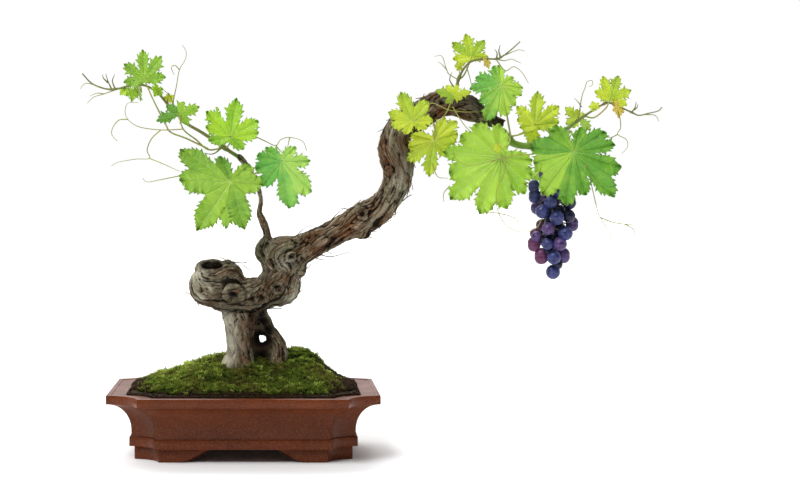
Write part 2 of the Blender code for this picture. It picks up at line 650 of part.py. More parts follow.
def make_moss(parts):
    rings = [cut_long_edges(ring(MOSS_INSET, SOIL_TOP + GAP))]
    deepest = POT_WIDTH / 2 - MOSS_RIDGE
    for i in range(MOSS_STEPS + 1):
        inset = MOSS_INSET + (deepest - MOSS_INSET) * (i / MOSS_STEPS) ** MOSS_STEP_BEND
        rings.append([(x, y, moss_height(x, y)) for x, y, _ in cut_long_edges(ring(inset, 0))])
    bm = loft(rings)
    bmesh.ops.triangulate(bm, faces=[f for f in bm.faces if len(f.verts) > 4])
    return from_bmesh("moss_mound", bm, parts)


def cut_pocket(moss, wood, scratch):
    """Sinks a seat for the trunk's foot into the mound, a little wider than the wood."""
    pocket = place("pocket", wood.data.copy(), scratch)
    swell = pocket.modifiers.new("clearance", "DISPLACE")
    swell.strength = POCKET_CLEARANCE
    swell.mid_level = 0
    low = (TRUNK_FOOT_Z - GAP) / MM
    reach = box(0, 0, low + POCKET_REACH, POCKET_WIDE, POCKET_WIDE, POCKET_REACH, scratch)
    add_boolean(pocket, "INTERSECT", reach)
    bake(pocket)
    add_boolean(moss, "DIFFERENCE", pocket, "MANIFOLD")
    bake(moss)
    remove_all([pocket, reach])


# Wood
def join(objects, collection):
    bm = bmesh.new()
    for obj in objects:
        bm.from_mesh(obj.data)
    mesh = bpy.data.meshes.new("joined")
    bm.to_mesh(mesh)
    bm.free()
    remove_all(objects)
    return place("joined", mesh, collection)


def make_wood(scratch):
    """Trunk, boughs and cane as one solid, with the hollow under the knot and the one in its top."""
    solids = [limb(points, 2, scratch) for points in LIMBS.values()]
    solids += [lump(*sizes, scratch) for sizes in LUMPS]
    solids.append(lump(*WEB, scratch))
    wood = join(solids, scratch)
    remesh = wood.modifiers.new("one_skin", "REMESH")
    remesh.mode = "VOXEL"
    remesh.voxel_size = WOOD_VOXEL
    smooth = wood.modifiers.new("soften", "SMOOTH")
    smooth.iterations = 4
    bake(wood)
    x, y, z, radius, depth = EYE
    ends = [Vector((x, y + side * depth, z)) * MM for side in (-1, 1)]
    eye = tube(ends, [radius * MM] * 2, 2, scratch)
    hollow = lump(*HOLLOW, scratch)
    add_boolean(wood, "DIFFERENCE", eye)
    add_boolean(wood, "DIFFERENCE", hollow)
    bake(wood)
    remove_all([eye, hollow])
    decimate = wood.modifiers.new("fewer_faces", "DECIMATE")
    decimate.ratio = WOOD_FACES / sum(len(p.vertices) - 2 for p in wood.data.polygons)
    return bake(wood)


def largest_body(bm, near):
    """Drops every loose body but the one that reaches nearest the point."""
    left = set(bm.verts)
    bodies = []
    while left:
        front = [left.pop()]
        body = set(front)
        while front:
            for edge in front.pop().link_edges:
                for vert in edge.verts:
                    if vert in left:
                        left.discard(vert)
                        body.add(vert)
                        front.append(vert)
        bodies.append(body)
    kept = min(bodies, key=lambda body: min((v.co - near).length for v in body) - 1e-4 * len(body) ** 0.5)
    bmesh.ops.delete(bm, geom=[v for v in bm.verts if v not in kept], context="VERTS")


def wood_part(name, wood, seed, cuts, collection):
    """The stretch of wood round the seed that lies inside every cut, each a plane and +1 or -1."""
    bm = bmesh.new()
    bm.from_mesh(wood.data)
    for (point, out), side in cuts:
        normal = Vector(out).normalized() * side
        spot = Vector(point) * MM - normal * (GAP / 2)
        whole = bm.verts[:] + bm.edges[:] + bm.faces[:]
        bmesh.ops.bisect_plane(bm, geom=whole, dist=1e-6, plane_co=spot, plane_no=normal, clear_outer=True)
        bmesh.ops.holes_fill(bm, edges=[e for e in bm.edges if e.is_boundary], sides=0)
    largest_body(bm, Vector(seed) * MM)
    bmesh.ops.dissolve_degenerate(bm, dist=1e-5, edges=bm.edges)
    bmesh.ops.triangulate(bm, faces=bm.faces)
    return from_bmesh(name, bm, collection)


def make_wood_parts(wood, parts):
    ground = ((0, 0, TRUNK_FOOT_Z / MM - GAP / 2 / MM), (0, 0, 1))
    bough_ends = [(KNOT_PLANE, -1), (BEND_PLANE, 1), (CANE_PLANE, 1)]
    return [
        wood_part("trunk", wood, (-5, 0, 160), [(KNOT_PLANE, 1), (ground, -1)], parts),
        wood_part("lower_bough", wood, (110, 0, 288), bough_ends, parts),
        wood_part("left_cane", wood, (20, 8, 330), [(CANE_PLANE, -1)], parts),
        wood_part("upright_bough", wood, (206, 0, 400), [(BEND_PLANE, -1), (HEAD_PLANE, 1)], parts),
        wood_part("bough_head", wood, (290, 0, 465), [(HEAD_PLANE, -1)], parts),
    ]


def stand_off(points, carrier):
    """The points with the first one set a hair off the carrier's skin, and a short lead out from there."""
    bm = bmesh.new()
    bm.from_mesh(carrier.data)
    skin = BVHTree.FromBMesh(bm)
    bm.free()
    spot, normal, _, _ = skin.find_nearest(Vector(points[0]) * MM)
    start = (spot + normal * GAP) / MM
    return [tuple(start), tuple(start + normal * STALK_LEAD)] + list(points[1:])


def make_shoot(head, parts):
    """The green limb that leaves the head's broken end."""
    start, lead = stand_off([SHOOT[0][:3]], head)
    shoot = limb([(*start, SHOOT[0][3]), (*lead, SHOOT[0][3])] + SHOOT[1:], 1, parts)
    shoot.name = "right_shoot"
    return shoot


# Leaves
def leaf_lobes(leaf):
    if "lobes" in leaf:
        return leaf["lobes"]
    return [(angle + leaf["heading"], share * leaf["size"], notch) for angle, share, notch in PLAIN_LEAF]


def leaf_point(leaf, x, z, sink=0.0):
    """A point of the leaf's leaning plane, x along it and z up it from the stalk, pushed back by the sink."""
    turn = math.radians(leaf.get("turn", 0))
    across = Vector((math.cos(turn), math.sin(turn), 0))
    back = Vector((-math.sin(turn), math.cos(turn), 0))
    depth = leaf["lean"][0] * x + leaf["lean"][1] * z + sink
    return Vector(leaf["at"]) + across * x + Vector((0, 0, z)) + back * depth


def blade(leaf, collection):
    """A thin lobed blade: a fan of faces from the stalk over each lobe's rib to its margin."""
    lobes = leaf_lobes(leaf)
    reach = max(length for _, length, _ in lobes)
    bm = bmesh.new()

    def spot(x, z, sink=0.0):
        return bm.verts.new(leaf_point(leaf, x, z, sink * reach) * MM)

    def polar(angle, length):
        return length * math.cos(math.radians(angle)), length * math.sin(math.radians(angle))

    middle = spot(0, 0)
    notches = []
    for (angle, length, notch), (next_angle, next_length, _) in zip(lobes, lobes[1:]):
        gap = (next_angle - angle) % 360
        notches.append(polar(angle + gap / 2, notch * min(length, next_length)))
    stalk_gap = (lobes[0][0] - lobes[-1][0]) % 360
    stalk_side = polar(lobes[-1][0] + stalk_gap / 2, SINUS_AT_STALK * reach)
    notches = [stalk_side] + notches + [stalk_side]
    notch_verts = [spot(*p) for p in notches[:-1]]
    notch_verts.append(notch_verts[0])
    for i, (angle, length, _) in enumerate(lobes):
        tip = polar(angle, length)
        tip_vert = spot(*tip, TIP_SINK)
        rib = spot(*polar(angle, RIB_BEND * length), RIB_SINK)
        for j in (i, i + 1):
            side = 1 if j > i else -1
            notch = notches[j]
            run = (tip[0] - notch[0], tip[1] - notch[1])
            out = (-run[1] * side * LEAF_BULGE, run[0] * side * LEAF_BULGE)
            flank = spot(notch[0] + run[0] / 2 + out[0], notch[1] + run[1] / 2 + out[1], FLANK_SINK)
            notch_vert = notch_verts[j]
            for corners in ((middle, rib, notch_vert), (rib, flank, notch_vert), (rib, tip_vert, flank)):
                bm.faces.new(corners if side > 0 else corners[::-1])
    bmesh.ops.recalc_face_normals(bm, faces=bm.faces)
    mesh = bpy.data.meshes.new("blade")
    bm.to_mesh(mesh)
    bm.free()
    obj = place("blade", mesh, collection)
    solidify = obj.modifiers.new("thickness", "SOLIDIFY")
    solidify.thickness = max(0.0009, LEAF_THICKNESS * reach * MM)
    solidify.offset = 0
    return bake(obj)


def fuse(name, base, pieces, collection):
    """One closed solid of the base and every object in the pieces collection."""
    add_boolean(base, "UNION", pieces)
    bm = bmesh.new()
    bm.from_mesh(evaluated_mesh(base))
    bmesh.ops.remove_doubles(bm, verts=bm.verts, dist=1e-6)
    largest_body(bm, base.data.vertices[0].co)
    bmesh.ops.dissolve_degenerate(bm, dist=1e-6, edges=bm.edges)
    bmesh.ops.triangulate(bm, faces=bm.faces)
    remove_all([base, *pieces.objects])
    return from_bmesh(name, bm, collection)


def leaf_seat(leaf):
    """The end of a leaf's stalk: the leaf's root and a place in its blade, towards its longest lobe."""
    angle, length, _ = max(leaf_lobes(leaf), key=lambda lobe: lobe[1])
    x = STALK_SUNK * length * math.cos(math.radians(angle))
    z = STALK_SUNK * length * math.sin(math.radians(angle))
    return [tuple(leaf["at"]), tuple(leaf_point(leaf, x, z))]


def make_mass(name, mass, carriers, parts, scratch, pieces):
    root, tip, points = mass["stem"]
    base = twig(root, tip, stand_off(points, carriers[mass["limb"]]), scratch)
    for key, points in mass["stalks"].items():
        twig(*STALK_RADII, points + leaf_seat(LEAVES[key]), pieces)
        blade(LEAVES[key], pieces)
    for points in mass["shoots"]:
        twig(*SHOOT_RADII, points, pieces)
    for points in mass["tendrils"]:
        twig(*TENDRIL_RADII, points, pieces)
    return fuse(name, base, pieces, parts)


# Fruit
def bunch_radius(z):
    """How far the berries' middles stand from the bunch's axis at this height."""
    for (top, wide), (low, narrow) in zip(BUNCH_RADII, BUNCH_RADII[1:]):
        if top >= z >= low:
            return narrow + (wide - narrow) * (z - low) / (top - low)
    return BUNCH_RADII[0][1]


def make_bunch(carrier, parts, scratch, pieces):
    axis = Vector(BUNCH_AT)
    core = [(axis.x, axis.y, axis.z + z, max(CORE_TIP, CORE_SHARE * wide)) for z, wide in BUNCH_RADII]
    base = tube([Vector(p[:3]) * MM for p in core], [p[3] * MM for p in core], 1, scratch)
    twig(*BUNCH_STALK_RADII, stand_off(BUNCH_STALK, carrier), pieces)
    for facing in (-1, 1):
        for x, z, radius in FRONT_BERRIES:
            if facing > 0 and z < BUNCH_TIP:
                continue
            spread = bunch_radius(z)
            depth = facing * BERRY_SPREAD * math.sqrt(max(0, spread**2 - x**2))
            height = z + (BACK_RISE if facing > 0 else 0)
            bm = bmesh.new()
            bmesh.ops.create_uvsphere(bm, u_segments=BERRY_SIDES, v_segments=BERRY_RINGS, radius=radius * MM)
            bm.transform(Matrix.Translation((axis + Vector((x, depth, height))) * MM))
            from_bmesh("berry", bm, pieces)
    return fuse("grape_bunch", base, pieces, parts)


def move_origin(objects):
    """Puts the origin under the middle of the whole plant's box."""
    points = [obj.matrix_world @ v.co for obj in objects for v in obj.data.vertices]
    middle_x = (min(p.x for p in points) + max(p.x for p in points)) / 2
    middle_y = (min(p.y for p in points) + max(p.y for p in points)) / 2
    shift = Matrix.Translation((-middle_x, -middle_y, 0))
    for mesh in {obj.data for obj in bpy.data.objects}:
        mesh.transform(shift)


def main():
    clear_scene()
    parts = new_collection("grape_bonsai")
    cutters = new_collection("cutters")
    scratch = new_collection("scratch")
    pieces = new_collection("pieces")
    pot = make_pot(parts, cutters)
    feet = make_feet(parts)
    soil = make_soil(parts)
    moss = make_moss(parts)
    wood = make_wood(scratch)
    limbs = make_wood_parts(wood, parts)
    cut_pocket(moss, wood, scratch)
    remove_all([wood])
    shoot = make_shoot(limbs[-1], parts)
    carriers = {obj.name: obj for obj in [*limbs, shoot]}
    masses = [make_mass(name, mass, carriers, parts, scratch, pieces) for name, mass in MASSES.items()]
    bunch = make_bunch(shoot, parts, scratch, pieces)
    for obj in [pot, *feet]:
        obj.data.materials.append(material(f"{obj.name}_clay", COLORS["pot"]))
    for obj in (soil, moss, shoot, bunch):
        obj.data.materials.append(material(f"{obj.name}_color", COLORS[obj.name], 0.8))
    for obj in limbs:
        obj.data.materials.append(material(f"{obj.name}_bark", COLORS["wood"], 0.9))
    for obj in masses:
        obj.data.materials.append(material(f"{obj.name}_leaf", MASSES[obj.name]["color"], 0.5))
    for obj in limbs + [moss, shoot, bunch]:
        obj.data.shade_smooth()
        obj.data.set_sharp_from_angle(angle=math.radians(40))
    move_origin(parts.objects)
    for spare in (scratch, pieces):
        bpy.data.collections.remove(spare)
    for obj in parts.objects:
        print(obj.name, sum(len(p.vertices) - 2 for p in obj.data.polygons))


main()
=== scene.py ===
import math
import random

import bmesh
import bpy
import numpy as np
from mathutils import Matrix, Vector, noise


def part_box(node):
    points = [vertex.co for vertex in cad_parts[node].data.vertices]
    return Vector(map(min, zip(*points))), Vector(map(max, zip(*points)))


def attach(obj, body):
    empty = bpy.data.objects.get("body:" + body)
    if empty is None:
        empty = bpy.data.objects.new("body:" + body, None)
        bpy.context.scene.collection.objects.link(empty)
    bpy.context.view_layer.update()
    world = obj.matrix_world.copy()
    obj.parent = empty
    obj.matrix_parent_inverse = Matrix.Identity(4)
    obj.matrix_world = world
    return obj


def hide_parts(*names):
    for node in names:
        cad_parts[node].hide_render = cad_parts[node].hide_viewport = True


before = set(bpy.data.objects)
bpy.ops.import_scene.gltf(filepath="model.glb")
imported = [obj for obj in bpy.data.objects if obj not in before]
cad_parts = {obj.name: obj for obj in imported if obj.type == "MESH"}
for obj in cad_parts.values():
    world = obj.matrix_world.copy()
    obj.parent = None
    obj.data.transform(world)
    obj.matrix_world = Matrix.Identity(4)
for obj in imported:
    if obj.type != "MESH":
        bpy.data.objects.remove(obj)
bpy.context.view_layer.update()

mm = 0.001
potLow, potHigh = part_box("pot")
plantAt = Vector(((potLow[0] + potHigh[0]) / 2, (potLow[1] + potHigh[1]) / 2, 0))  # under the pot's middle
sceneBox = bpy.context.scene.collection
noise.seed_set(5)  # the noise vectors start from this, so every run gives the same bark


# Small helpers
def paint(red, green, blue):
    # a colour as a picture program gives it, turned into the linear one that a shader takes
    parts = [c / 255 for c in (red, green, blue)]
    return (*[((c + 0.055) / 1.055) ** 2.4 if c > 0.04 else c / 12.92 for c in parts], 1)


def place(name, data):
    obj = bpy.data.objects.new(name, data)
    sceneBox.objects.link(obj)
    return obj


def meshOf(obj):
    bpy.context.view_layer.update()
    return bpy.data.meshes.new_from_object(obj.evaluated_get(bpy.context.evaluated_depsgraph_get()))


def applied(obj):
    mesh = meshOf(obj)
    obj.modifiers.clear()
    obj.data = mesh
    return obj


def meshFrom(name, bm):
    mesh = bpy.data.meshes.new(name)
    bm.to_mesh(mesh)
    bm.free()
    return mesh


def fromBmesh(name, bm):
    return place(name, meshFrom(name, bm))


def note(mesh, name, values):
    # a number for each point of a mesh, which materials read by its name
    mesh.attributes.new(name, "FLOAT", "POINT").data.foreach_set("value", values)


def dropAll(objects):
    for obj in list(objects):
        bpy.data.objects.remove(obj, do_unlink=True)


def joined(name, objects):
    # one mesh from several objects, which are removed
    bm = bmesh.new()
    for obj in objects:
        bm.from_mesh(obj.data)
    dropAll(objects)
    return fromBmesh(name, bm)


def finished(obj, slot, *nodes, materials=(), angle=None):
    # the last step of every piece: its place, materials, shading and the CAD nodes it stands for; its slot is
    # not used
    obj.data.transform(Matrix.Translation(plantAt))
    obj.data.materials.clear()
    for mat in materials:
        obj.data.materials.append(mat)
    obj.data.polygons.foreach_set("material_index", [0] * len(obj.data.polygons))
    obj.data.shade_smooth()
    if angle:
        obj.data.set_sharp_from_angle(angle=math.radians(angle))
    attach(obj, "root")
    if nodes:
        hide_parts(*nodes)
    print("made", obj.name, sum(len(p.vertices) - 2 for p in obj.data.polygons), "triangles")
    return obj


def smoothPath(points, step):
    # points about a step apart in mm on a Catmull-Rom curve through the given ones, radii included
    rows = [Vector(p) for p in points]
    rows = [2 * rows[0] - rows[1]] + rows + [2 * rows[-1] - rows[-2]]
    path = []
    for a, b, c, d in zip(rows, rows[1:], rows[2:], rows[3:]):
        count = max(1, round((c.to_3d() - b.to_3d()).length / step))
        for i in range(count):
            t = i / count
            curve = 2 * b + (c - a) * t + (2 * a - 5 * b + 4 * c - d) * t**2 + (3 * b - a - 3 * c + d) * t**3
            path.append(0.5 * curve)
    return path + [rows[-2]]


def tubes(name, runs, roundness):
    # closed tubes, each a list of points with radii in mm
    curve = bpy.data.curves.new(name, "CURVE")
    curve.dimensions = "3D"
    curve.bevel_depth = 1.0
    curve.bevel_resolution = roundness
    curve.use_fill_caps = True
    for run in runs:
        spline = curve.splines.new("POLY")
        spline.points.add(len(run) - 1)
        for point, row in zip(spline.points, run):
            point.co = (row[0] * mm, row[1] * mm, row[2] * mm, 1)
            point.radius = row[3] * mm
    guide = place(name, curve)
    bm = bmesh.new()
    bm.from_mesh(meshOf(guide))
    dropAll([guide])
    bpy.data.curves.remove(curve)
    bmesh.ops.remove_doubles(bm, verts=bm.verts, dist=1e-6)
    bmesh.ops.recalc_face_normals(bm, faces=bm.faces)
    return fromBmesh(name, bm)


def taper(points, root, tip, step=3.0):
    # a smooth run through the points, whose radius goes from that of the root to that of the tip
    path = smoothPath(points, step)
    last = max(1, len(path) - 1)
    return [(*p, root + (tip - root) * i / last) for i, p in enumerate(path)]


def ball(x, y, z, sizeX, sizeY, sizeZ):
    bm = bmesh.new()
    bmesh.ops.create_icosphere(bm, subdivisions=4, radius=1)
    stretch = Matrix.Diagonal((sizeX * mm, sizeY * mm, sizeZ * mm, 1))
    bm.transform(Matrix.Translation(Vector((x, y, z)) * mm) @ stretch)
    return fromBmesh("ball", bm)


def scatter(name, template, matrices, rng):
    # copies of a small mesh at many places, joined into one, with each point's height and a number of
    # its copy's own noted on it
    count = len(template.vertices)
    corners = np.ones((count, 4))
    corners[:, :3] = [v.co[:] for v in template.vertices]
    spots = np.einsum("nij,vj->nvi", np.array([[row[:] for row in m] for m in matrices]), corners)[..., :3]
    polygons = [tuple(p.vertices) for p in template.polygons]
    faces = [tuple(v + count * n for v in polygon) for n in range(len(matrices)) for polygon in polygons]
    mesh = bpy.data.meshes.new(name)
    mesh.from_pydata(spots.reshape(-1, 3).tolist(), [], faces)
    note(mesh, "rise", np.tile(corners[:, 2] / corners[:, 2].max(), len(matrices)))
    note(mesh, "chance", np.repeat([rng.random() for _ in matrices], count))
    return place(name, mesh)


# Shader helpers and the groups that several materials share
def addNode(tree, kind, inputs=None, **settings):
    # a node with its settings, and a link or a value for each input
    node = tree.nodes.new(kind)
    for key, value in settings.items():
        setattr(node, key, value)
    for key, value in (inputs or {}).items():
        if isinstance(value, bpy.types.NodeSocket):
            tree.links.new(value, node.inputs[key])
        else:
            node.inputs[key].default_value = value
    return node


def placeGroup(tree, source, inputs):
    return addNode(tree, "ShaderNodeGroup", inputs, node_tree=source).outputs


def newGroup(name, inputs, outputs):
    tree = bpy.data.node_groups.new(name, "ShaderNodeTree")
    for label, kind, value in inputs:
        socket = tree.interface.new_socket(label, in_out="INPUT", socket_type="NodeSocket" + kind)
        if value is not None:
            socket.default_value = value
    for label, kind in outputs:
        tree.interface.new_socket(label, in_out="OUTPUT", socket_type="NodeSocket" + kind)
    return tree, tree.nodes.new("NodeGroupInput").outputs, tree.nodes.new("NodeGroupOutput").inputs


def mixed(tree, factor, first, second):
    return addNode(tree, "ShaderNodeMix", {0: factor, 6: first, 7: second}, data_type="RGBA").outputs[2]


def ranged(tree, value, low, high, to=(0, 1)):
    inputs = {"Value": value, "From Min": low, "From Max": high, "To Min": to[0], "To Max": to[1]}
    return addNode(tree, "ShaderNodeMapRange", inputs, clamp=True).outputs["Result"]


def counted(tree, operation, first, second=0.0):
    return addNode(tree, "ShaderNodeMath", {0: first, 1: second}, operation=operation).outputs[0]


def times(tree, first, second):
    return counted(tree, "MULTIPLY", first, second)


def highest(tree, first, *others):
    for other in others:
        first = counted(tree, "MAXIMUM", first, other)
    return first


def cloud(tree, vector, scale, detail, **more):
    inputs = {"Vector": vector, "Scale": scale, "Detail": detail, **more}
    return addNode(tree, "ShaderNodeTexNoise", inputs).outputs[0]


def makeMottle():
    # two colours in soft patches, and the patches as a mask
    tree, inside, outside = newGroup(
        "mottle",
        [("Vector", "Vector", None), ("Scale", "Float", 40.0), ("Contrast", "Float", 0.2),
         ("First", "Color", (0.5, 0.5, 0.5, 1)), ("Second", "Color", (0.2, 0.2, 0.2, 1))],
        [("Color", "Color"), ("Mask", "Float")],
    )
    patches = cloud(tree, inside["Vector"], inside["Scale"], 4.0)
    low = counted(tree, "SUBTRACT", 0.5, inside["Contrast"])
    high = counted(tree, "ADD", 0.5, inside["Contrast"])
    mask = ranged(tree, patches, low, high)
    tree.links.new(mixed(tree, mask, inside["First"], inside["Second"]), outside["Color"])
    tree.links.new(mask, outside["Mask"])
    return tree


def makeGrit():
    # fine and coarse roughness of a surface as a height
    tree, inside, outside = newGroup(
        "grit",
        [("Vector", "Vector", None), ("Fine", "Float", 1500.0), ("Coarse", "Float", 200.0),
         ("Share", "Float", 0.5)],
        [("Height", "Float")],
    )
    fine = cloud(tree, inside["Vector"], inside["Fine"], 2.0)
    coarse = cloud(tree, inside["Vector"], inside["Coarse"], 3.0)
    both = addNode(tree, "ShaderNodeMix", {0: inside["Share"], 2: fine, 3: coarse}, data_type="FLOAT")
    tree.links.new(both.outputs[0], outside["Height"])
    return tree


def makeVeins():
    # side veins that wander a little and fade outwards, the rib, and the fine net between them, from a map
    # with the side veins along u and the distance to the rib in v
    tree, inside, outside = newGroup(
        "veins",
        [("Map", "Vector", None), ("Vector", "Vector", None), ("Width", "Float", 0.1)],
        [("Veins", "Float")],
    )
    parts = addNode(tree, "ShaderNodeSeparateXYZ", {0: inside["Map"]}).outputs
    bend = ranged(tree, cloud(tree, inside["Vector"], 90.0, 1.0), 0.3, 0.7, (-0.28, 0.28))
    saw = counted(tree, "PINGPONG", counted(tree, "ADD", parts[0], bend), 0.5)
    side = ranged(tree, saw, 0.0, inside["Width"], (1, 0))
    side = times(tree, side, ranged(tree, parts[1], 0.0, 0.45, (1.0, 0.35)))
    rib = ranged(tree, parts[1], 0.004, 0.018, (1, 0))
    inputs = {"Vector": inside["Vector"], "Scale": 700.0}
    net = addNode(tree, "ShaderNodeTexVoronoi", inputs, feature="DISTANCE_TO_EDGE").outputs["Distance"]
    fine = ranged(tree, net, 0.0, 0.09, (0.22, 0))
    tree.links.new(highest(tree, side, rib, fine), outside["Veins"])
    return tree


mottle = makeMottle()
grit = makeGrit()
veins = makeVeins()


def startMaterial(name, **sockets):
    # a material, its tree, its Principled shader and the object's own coordinates
    mat = bpy.data.materials.new(name)
    mat.use_nodes = True
    tree = mat.node_tree
    shader = tree.nodes["Principled BSDF"]
    for key, value in sockets.items():
        shader.inputs[key.replace("_", " ")].default_value = value
    spots = tree.nodes.new("ShaderNodeTexCoord").outputs["Object"]
    return mat, tree, shader, spots


def addBump(tree, shader, height, strength, distance):
    bump = addNode(tree, "ShaderNodeBump", {"Height": height, "Strength": strength, "Distance": distance})
    tree.links.new(bump.outputs[0], shader.inputs["Normal"])


def roughen(tree, shader, vector, fine, coarse, share, strength, distance):
    inputs = {"Vector": vector, "Fine": fine, "Coarse": coarse, "Share": share}
    addBump(tree, shader, placeGroup(tree, grit, inputs)["Height"], strength, distance)


def patchy(tree, vector, scale, contrast, *colors):
    # the mottle group, with its two colours where they are given
    inputs = {"Vector": vector, "Scale": scale, "Contrast": contrast}
    inputs.update(zip(("First", "Second"), [paint(*color) for color in colors]))
    return placeGroup(tree, mottle, inputs)


def attribute(tree, name, output="Fac"):
    return addNode(tree, "ShaderNodeAttribute", attribute_name=name).outputs[output]


# Pot
# Its sizes are in mm. An inset is measured inwards from the outer edge of the rim.
potParts = {
    "length": 355, "width": 256, "height": 86.3, "cornerLength": 43, "cornerWidth": 38,
    "cornerShrink": 0.28, "cornerRound": 0.85, "cornerSteps": 14, "rimHeight": 12, "bead": 6, "lip": 24.5,
    "cove": 31, "coveHeight": 36, "coveSteps": 18, "coveBend": 1.6, "belt": 28.5, "beltTop": 30, "wall": 40,
    "wallFlare": 4, "wallBend": 58, "wallStraight": 42, "edge": 1.0, "floor": 27, "footHeight": 17,
    "foot": 35, "drain": 8, "drainAt": 70, "footThick": 12, "footEnd": 0.8, "frontFlat": 28,
    "frontReach": 66, "sideFlat": 18, "sideReach": 44, "footSteps": 12, "clay": (102, 47, 22),
    "clayDark": (78, 35, 17), "clayLight": (150, 92, 60),
    "gap": 0.3, "longEdge": 25, "sharp": 28, "footEdge": 0.6,
}


def cornerArc(inset, steps):
    # the front right corner, hollow in plan, from the front edge to the side
    p = potParts
    longCut = p["cornerLength"] - p["cornerShrink"] * inset
    wideCut = p["cornerWidth"] - p["cornerShrink"] * inset
    arc = []
    for i in range(steps + 1):
        turn = math.pi / 2 * i / steps
        straight = i / steps
        x = p["cornerRound"] * math.cos(turn) + (1 - p["cornerRound"]) * (1 - straight)
        y = p["cornerRound"] * math.sin(turn) + (1 - p["cornerRound"]) * straight
        arc.append((p["length"] / 2 - inset - longCut * x, inset - p["width"] / 2 + wideCut * y))
    return arc


def outline(inset, steps, sideSteps=None):
    # the pot's outline in plan, moved in, with its long edges cut into so many steps where that is given
    arc = cornerArc(inset, steps)
    half = arc + [(x, -y) for x, y in reversed(arc)]
    corners = half + [(-x, -y) for x, y in half]
    if sideSteps is None:
        return corners
    points = []
    for (x, y), (nextX, nextY) in zip(corners, corners[1:] + corners[:1]):
        long = math.hypot(nextX - x, nextY - y) > potParts["longEdge"]
        overMiddle = abs(nextX + x) < 1 or abs(nextY + y) < 1
        cuts = sideSteps if long or overMiddle else 1
        points += [(x + (nextX - x) * i / cuts, y + (nextY - y) * i / cuts) for i in range(cuts)]
    return points


def ringStack(rings):
    # a first ring of points, extruded from one ring to the next and closed at both ends
    bm = bmesh.new()
    verts = [bm.verts.new(Vector(p) * mm) for p in rings[0]]
    edges = [bm.edges.new((verts[i - 1], verts[i])) for i in range(len(verts))]
    first = list(edges)
    for points in rings[1:]:
        grown = bmesh.ops.extrude_edge_only(bm, edges=edges)["geom"]
        fresh = {v for v in grown if isinstance(v, bmesh.types.BMVert)}
        edges = [e for e in grown if isinstance(e, bmesh.types.BMEdge) and fresh.issuperset(e.verts)]
        verts = [next(e.other_vert(v) for e in v.link_edges if e.other_vert(v) in fresh) for v in verts]
        for vert, point in zip(verts, points):
            vert.co = Vector(point) * mm
    bmesh.ops.contextual_create(bm, geom=first)
    bmesh.ops.contextual_create(bm, geom=edges)
    bmesh.ops.recalc_face_normals(bm, faces=bm.faces)
    return bm


def potProfile():
    # the pot's section as (inset, height): from its underside up the outside, over the rim, down to its floor
    p = potParts
    e = p["edge"]
    top = p["height"]
    belt = p["belt"]
    beltTop = p["beltTop"]
    cove = p["cove"]
    bead = p["bead"]
    lip = p["lip"]
    rimBottom = top - p["rimHeight"]
    footTop = p["footHeight"] + p["gap"]
    rows = [(p["foot"] + e, footTop), (belt + 0.3 * e, footTop + 0.3 * e), (belt, footTop + e),
            (belt, beltTop - e), (belt + 0.3 * e, beltTop - 0.3 * e), (belt + e, beltTop),
            (cove - 0.4, beltTop), (cove, beltTop + 0.5)]
    for i in range(p["coveSteps"], 0, -1):
        drop = p["coveHeight"] * (i / p["coveSteps"]) ** p["coveBend"]
        rows.append((cove * math.sqrt(1 - (1 - drop / p["coveHeight"]) ** 2), rimBottom - drop))
    rows += [(2 * e, rimBottom), (0.3 * e, rimBottom + 0.3 * e), (0, rimBottom + 1.2 * e),
             (0, top - 1.2 * e), (0.35 * e, top - 0.35 * e), (1.2 * e, top), (bead - 0.3, top),
             (bead + 0.4, top - 0.5), (bead + 1, top - e), (lip - e, top - 2 * e), (lip - 0.2, top - 2.4 * e),
             (lip, top - 4 * e), (p["wall"] - p["wallFlare"], p["wallBend"]), (p["wall"], p["wallStraight"]),
             (p["wall"], p["floor"])]
    return rows


def ogee(distance, flat, reach):
    # how high the underside of a foot's end has risen at this distance from the corner
    along = min(1, max(0, (distance - flat) / (reach - flat)))
    return (potParts["footHeight"] - potParts["footEnd"]) * (3 * along**2 - 2 * along**3)


def footStations(inset):
    # points along a foot as (x, y, height of its underside), from its end on the front to that on the side
    p = potParts
    arc = cornerArc(inset, p["cornerSteps"])
    startX, startY = arc[0]
    endX, endY = arc[-1]
    stations = []
    for i in range(p["footSteps"], 0, -1):
        away = p["frontFlat"] + (p["frontReach"] - p["frontFlat"]) * i / p["footSteps"]
        stations.append((startX - away, startY, ogee(away, p["frontFlat"], p["frontReach"])))
    stations.append((startX - p["frontFlat"], startY, 0))
    stations += [(x, y, 0) for x, y in arc]
    stations.append((endX, endY + p["sideFlat"], 0))
    for i in range(1, p["footSteps"] + 1):
        away = p["sideFlat"] + (p["sideReach"] - p["sideFlat"]) * i / p["footSteps"]
        stations.append((endX, endY + away, ogee(away, p["sideFlat"], p["sideReach"])))
    return stations


def makeClay():
    mat, tree, shader, spots = startMaterial(
        "potClay", Roughness=0.3, Specular_IOR_Level=0.1, Coat_Weight=0.1, Coat_Roughness=0.2)
    broad = patchy(tree, spots, 22.0, 0.22, potParts["clay"], potParts["clayDark"])
    specks = patchy(tree, spots, 900.0, 0.05)
    grains = ranged(tree, specks["Mask"], 0.75, 1.0, (0, 0.35))
    color = mixed(tree, grains, broad["Color"], paint(*potParts["clayLight"]))
    tree.links.new(color, shader.inputs["Base Color"])
    tree.links.new(ranged(tree, broad["Mask"], 0, 1, (0.26, 0.42)), shader.inputs["Roughness"])
    roughen(tree, shader, spots, 1600.0, 260.0, 0.4, 0.35, 0.0006)
    return mat


